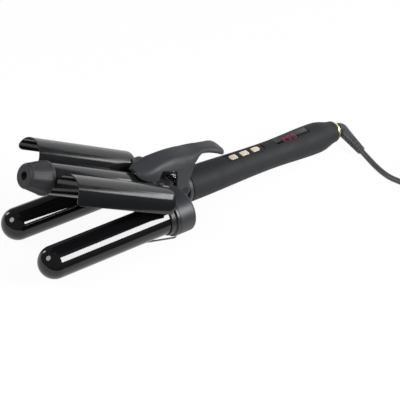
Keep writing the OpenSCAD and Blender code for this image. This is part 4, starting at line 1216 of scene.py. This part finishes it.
class CRIMPER_OT_lead(bpy.types.Operator):
    """Build the lead with its elbow, ribbed sleeve and plug"""

    bl_idname = "crimper.lead"
    bl_label = "Lead and plug"

    def execute(self, context):
        sizes = context.scene.crimper_sizes
        self.elbow()
        route, way = lead_route()
        plug = self.plug(route[-1], way)
        smooth = [PLACED @ p for p in curved(route, 3)]
        data = bpy.data.curves.new("mains_lead", "CURVE")
        data.dimensions = "3D"
        data.bevel_depth = sizes.cord_diameter / 2
        data.bevel_resolution = 6
        data.use_fill_caps = True
        line = data.splines.new("POLY")
        line.points.add(len(smooth) - 1)
        for point, place in zip(line.points, smooth):
            point.co = (*place, 1)
        line.use_smooth = True
        lead = place_object("mains_lead", data, MATERIALS["cord"])
        settle(lead, "lead", ["cord", "cord_coil", "cord_tail"])
        return {"FINISHED"}

    @staticmethod
    def elbow():
        """Moulded elbow that runs into a sleeve with slots on alternate sides."""
        knee = curved(ELBOW_ROUTE, 6)[:-1]
        start, stop = Vector(SLEEVE_START), Vector(SLEEVE_END)
        route = [Vector(p[:3]) for p in knee]
        radii = [p[3] for p in knee]
        for k in range(SLEEVE_STEPS + 1):
            route.append(start.lerp(stop, k / SLEEVE_STEPS))
            radii.append(SLEEVE_RADIUS - SLEEVE_TAPER * k / SLEEVE_STEPS)

        def radius(i, angle):
            if i == 0:
                return radii[0] - ELBOW_RIM
            if i < len(knee):
                return radii[i]
            along = (i - len(knee)) / SLEEVE_STEPS * (stop - start).length
            return radii[i] - slot_depth(along, angle)

        dress("elbow_sleeve", tube(route, radius, 64), PLACED, "rubber", "lead",
              ["strain_relief"], sharp=50)

    @staticmethod
    def plug(end, way):
        """Flat two-pin plug body, waisted towards the cord for the fingers."""
        half, thick, length = PLUG_WIDTH / 2, PLUG_THICK / 2, PLUG_LENGTH
        # Place along the plug, half width and half thickness
        rows = [(-1, 5.5, 5), (3, 6.2, 5.4), (7, 7, 6.2), (10, 9.2, thick - 0.1),
                (12, 11, thick), (14.5, 14, thick), (17, half - 1, thick), (20, half, thick),
                (27, half, thick), (length - 2, half, thick), (length - 0.8, half - 0.5, thick - 0.5),
                (length, half - 1.6, thick - 1.6)]
        rings = []
        for x, w, t in eased_rows(rows, 5):
            rings.append([(x, a, b) for a, b in round_rect(2 * w, 2 * t, min(w, t) * PLUG_CORNER_SHARE)])
        place = PLACED @ Matrix.Translation(end) @ Matrix.Rotation(math.atan2(way.y, way.x), 4, "Z")
        return dress("plug_moulding", loft(rings), place, "cord", "lead",
                     ["plug_body"])


# ---------------------------------------------------------------- camera, floor and light


class CRIMPER_OT_stage(bpy.types.Operator):
    """Set the camera, the floor, the lamps and the surroundings"""

    bl_idname = "crimper.stage"
    bl_label = "Stage"

    # Lamps: name, azimuth, elevation and tilt in degrees, distance, width and height in metres, watts
    LAMPS = [
        ("near_softbox", -62.7, 36, -15, 1.46, 0.40, 0.78, 20.4),
        ("cord_end_card", -13, 16.5, 0, 2.0, 0.95, 0.26, 5.0),
        ("far_card", 27, 13, 0, 1.5, 1.55, 0.9, 4.0),
        ("tip_end_softbox", 172, 42, 0, 1.4, 0.68, 0.68, 8.2),
        ("rear_lamp", 111, 16, 0, 1.2, 0.2, 0.3, 1.2)]

    def execute(self, context):
        self.camera(context.scene)
        self.floor(context.scene.crimper_colours)
        for lamp in self.LAMPS:
            self.lamp(*lamp)
        world = bpy.data.worlds.new("studio")
        world.use_nodes = True
        context.scene.world = world
        world.node_tree.nodes["Background"].inputs["Color"].default_value = STUDIO_GREY
        context.scene.view_settings.view_transform = "Standard"
        return {"FINISHED"}

    @staticmethod
    def camera(scene):
        """The camera, turned about its target and rolled, then shifted across its view."""
        azimuth, lift, roll = (math.radians(v) for v in (CAMERA_AZIMUTH, CAMERA_ELEVATION, CAMERA_ROLL))
        back = Vector((math.sin(azimuth) * math.cos(lift), -math.cos(azimuth) * math.cos(lift),
                       math.sin(lift)))
        level = Vector((math.cos(azimuth), math.sin(azimuth), 0))
        upright = back.cross(level)
        right = level * math.cos(roll) + upright * math.sin(roll)
        up = back.cross(right)
        target = PLACED @ Vector((CAMERA_TARGET_X, 0, 0))
        place = target + right * CAMERA_SHIFT[0] + up * CAMERA_SHIFT[1] + back * CAMERA_DISTANCE
        data = bpy.data.cameras.new("camera")
        data.lens = CAMERA_LENS
        data.sensor_width = CAMERA_SENSOR
        data.clip_start, data.clip_end = CAMERA_CLIP
        camera = bpy.data.objects.new("camera", data)
        turn = Matrix((right, up, back)).transposed().to_4x4()
        camera.matrix_world = Matrix.Translation(place) @ turn
        scene.collection.objects.link(camera)
        scene.camera = camera

    @staticmethod
    def floor(colours):
        """The paper under the crimper and the dark table past its edge."""
        corners_of_floor = [(x * FLOOR_HALF, y * FLOOR_HALF, FLOOR_LEVEL)
                            for x, y in ((-1, -1), (1, -1), (1, 1), (-1, 1))]
        mesh = bpy.data.meshes.new("floor_paper")
        mesh.from_pydata(corners_of_floor, [], [(0, 1, 2, 3)])
        material, tree, output = new_material("white_paper_sweep")
        # The paper ends in front of the barrels, and the table past its edge is dark
        place = add_node(tree, "ShaderNodeTexCoord")
        parts = add_node(tree, "ShaderNodeSeparateXYZ", links={"Vector": place.outputs["Object"]})
        near = add_node(tree, "ShaderNodeMapRange",
                        {"From Min": PAPER_END[0], "From Max": PAPER_END[1],
                         "To Min": PAPER_TONES[0], "To Max": PAPER_TONES[1]},
                        {"Value": parts.outputs["Y"]})
        path = add_node(tree, "ShaderNodeLightPath")
        direct = path.outputs["Is Camera Ray"]
        higher, times = {"operation": "MAXIMUM"}, {"operation": "MULTIPLY"}
        tone = add_node(tree, "ShaderNodeMath", higher, {0: near.outputs[0], 1: direct})
        paper = add_node(tree, "ShaderNodeBsdfDiffuse", links={"Color": tone.outputs[0]})
        # The camera sees plain white, and so do mirrors as far as the paper goes, and clear pieces
        mirrored = add_node(tree, "ShaderNodeMath", times,
                            {0: near.outputs[0], 1: path.outputs["Is Glossy Ray"]})
        seen = add_node(tree, "ShaderNodeMath", higher, {0: direct, 1: mirrored.outputs[0]})
        clear = add_node(tree, "ShaderNodeMath", higher,
                         {0: seen.outputs[0], 1: path.outputs["Is Transmission Ray"]})
        # Most of the paper's look is plain white; the rest is lit paper, which keeps the shadow
        part = add_node(tree, "ShaderNodeMath", {**times, 1: PAPER_WHITE}, {0: clear.outputs[0]})
        white = add_node(tree, "ShaderNodeEmission", {"Color": colours.backdrop, "Strength": 1.0})
        mix = add_node(tree, "ShaderNodeMixShader",
                       links={0: part.outputs[0], 1: paper.outputs[0], 2: white.outputs[0]})
        tree.links.new(mix.outputs[0], output.inputs["Surface"])
        place_object("floor_paper", mesh, material)

    @staticmethod
    def lamp(name, azimuth, elevation, tilt, distance, width, height, power):
        """An area lamp aimed at the frame's origin; one as wide as it is high is round."""
        turn, lift = math.radians(azimuth), math.radians(elevation)
        way = Vector((math.cos(turn) * math.cos(lift), math.sin(turn) * math.cos(lift), math.sin(lift)))
        data = bpy.data.lights.new(name, "AREA")
        data.shape = "DISK" if width == height else "RECTANGLE"
        data.size, data.size_y, data.energy = width, height, power
        lamp = bpy.data.objects.new(name, data)
        lamp.location = way * distance
        aim = Quaternion(way, math.radians(tilt)) @ (-way).to_track_quat("-Z", "Y")
        lamp.rotation_euler = aim.to_euler()
        bpy.context.scene.collection.objects.link(lamp)


# ---------------------------------------------------------------- panel and run


OPERATORS = (CRIMPER_OT_stage, CRIMPER_OT_materials, CRIMPER_OT_barrels, CRIMPER_OT_wings,
             CRIMPER_OT_centre_barrel, CRIMPER_OT_lever, CRIMPER_OT_handle, CRIMPER_OT_controls,
             CRIMPER_OT_wires, CRIMPER_OT_lead)


class CRIMPER_PT_panel(bpy.types.Panel):
    """Lists the crimper's steps, sizes and colours"""

    bl_idname = "CRIMPER_PT_panel"
    bl_label = "Hair crimper"
    bl_space_type = "VIEW_3D"
    bl_region_type = "UI"
    bl_category = "Crimper"

    def draw(self, context):
        for operator in OPERATORS:
            self.layout.operator(operator.bl_idname)
        for group in (context.scene.crimper_sizes, context.scene.crimper_colours):
            box = self.layout.box()
            for name in group.bl_rna.properties.keys():
                if name not in ("rna_type", "name"):
                    box.prop(group, name)


CLASSES = (CrimperSizes, CrimperColours, *OPERATORS, CRIMPER_PT_panel)


def register():
    for cls in CLASSES:
        bpy.utils.register_class(cls)
    bpy.types.Scene.crimper_sizes = bpy.props.PointerProperty(type=CrimperSizes)
    bpy.types.Scene.crimper_colours = bpy.props.PointerProperty(type=CrimperColours)


def unregister():
    del bpy.types.Scene.crimper_colours
    del bpy.types.Scene.crimper_sizes
    for cls in reversed(CLASSES):
        bpy.utils.unregister_class(cls)


def main():
    register()
    bpy.ops.crimper.stage()
    bpy.ops.crimper.materials()
    bpy.ops.crimper.barrels()
    bpy.ops.crimper.wings()
    bpy.ops.crimper.centre_barrel()
    bpy.ops.crimper.lever()
    bpy.ops.crimper.handle()
    bpy.ops.crimper.controls()
    bpy.ops.crimper.wires()
    bpy.ops.crimper.lead()


if __name__ == "__main__":
    main()
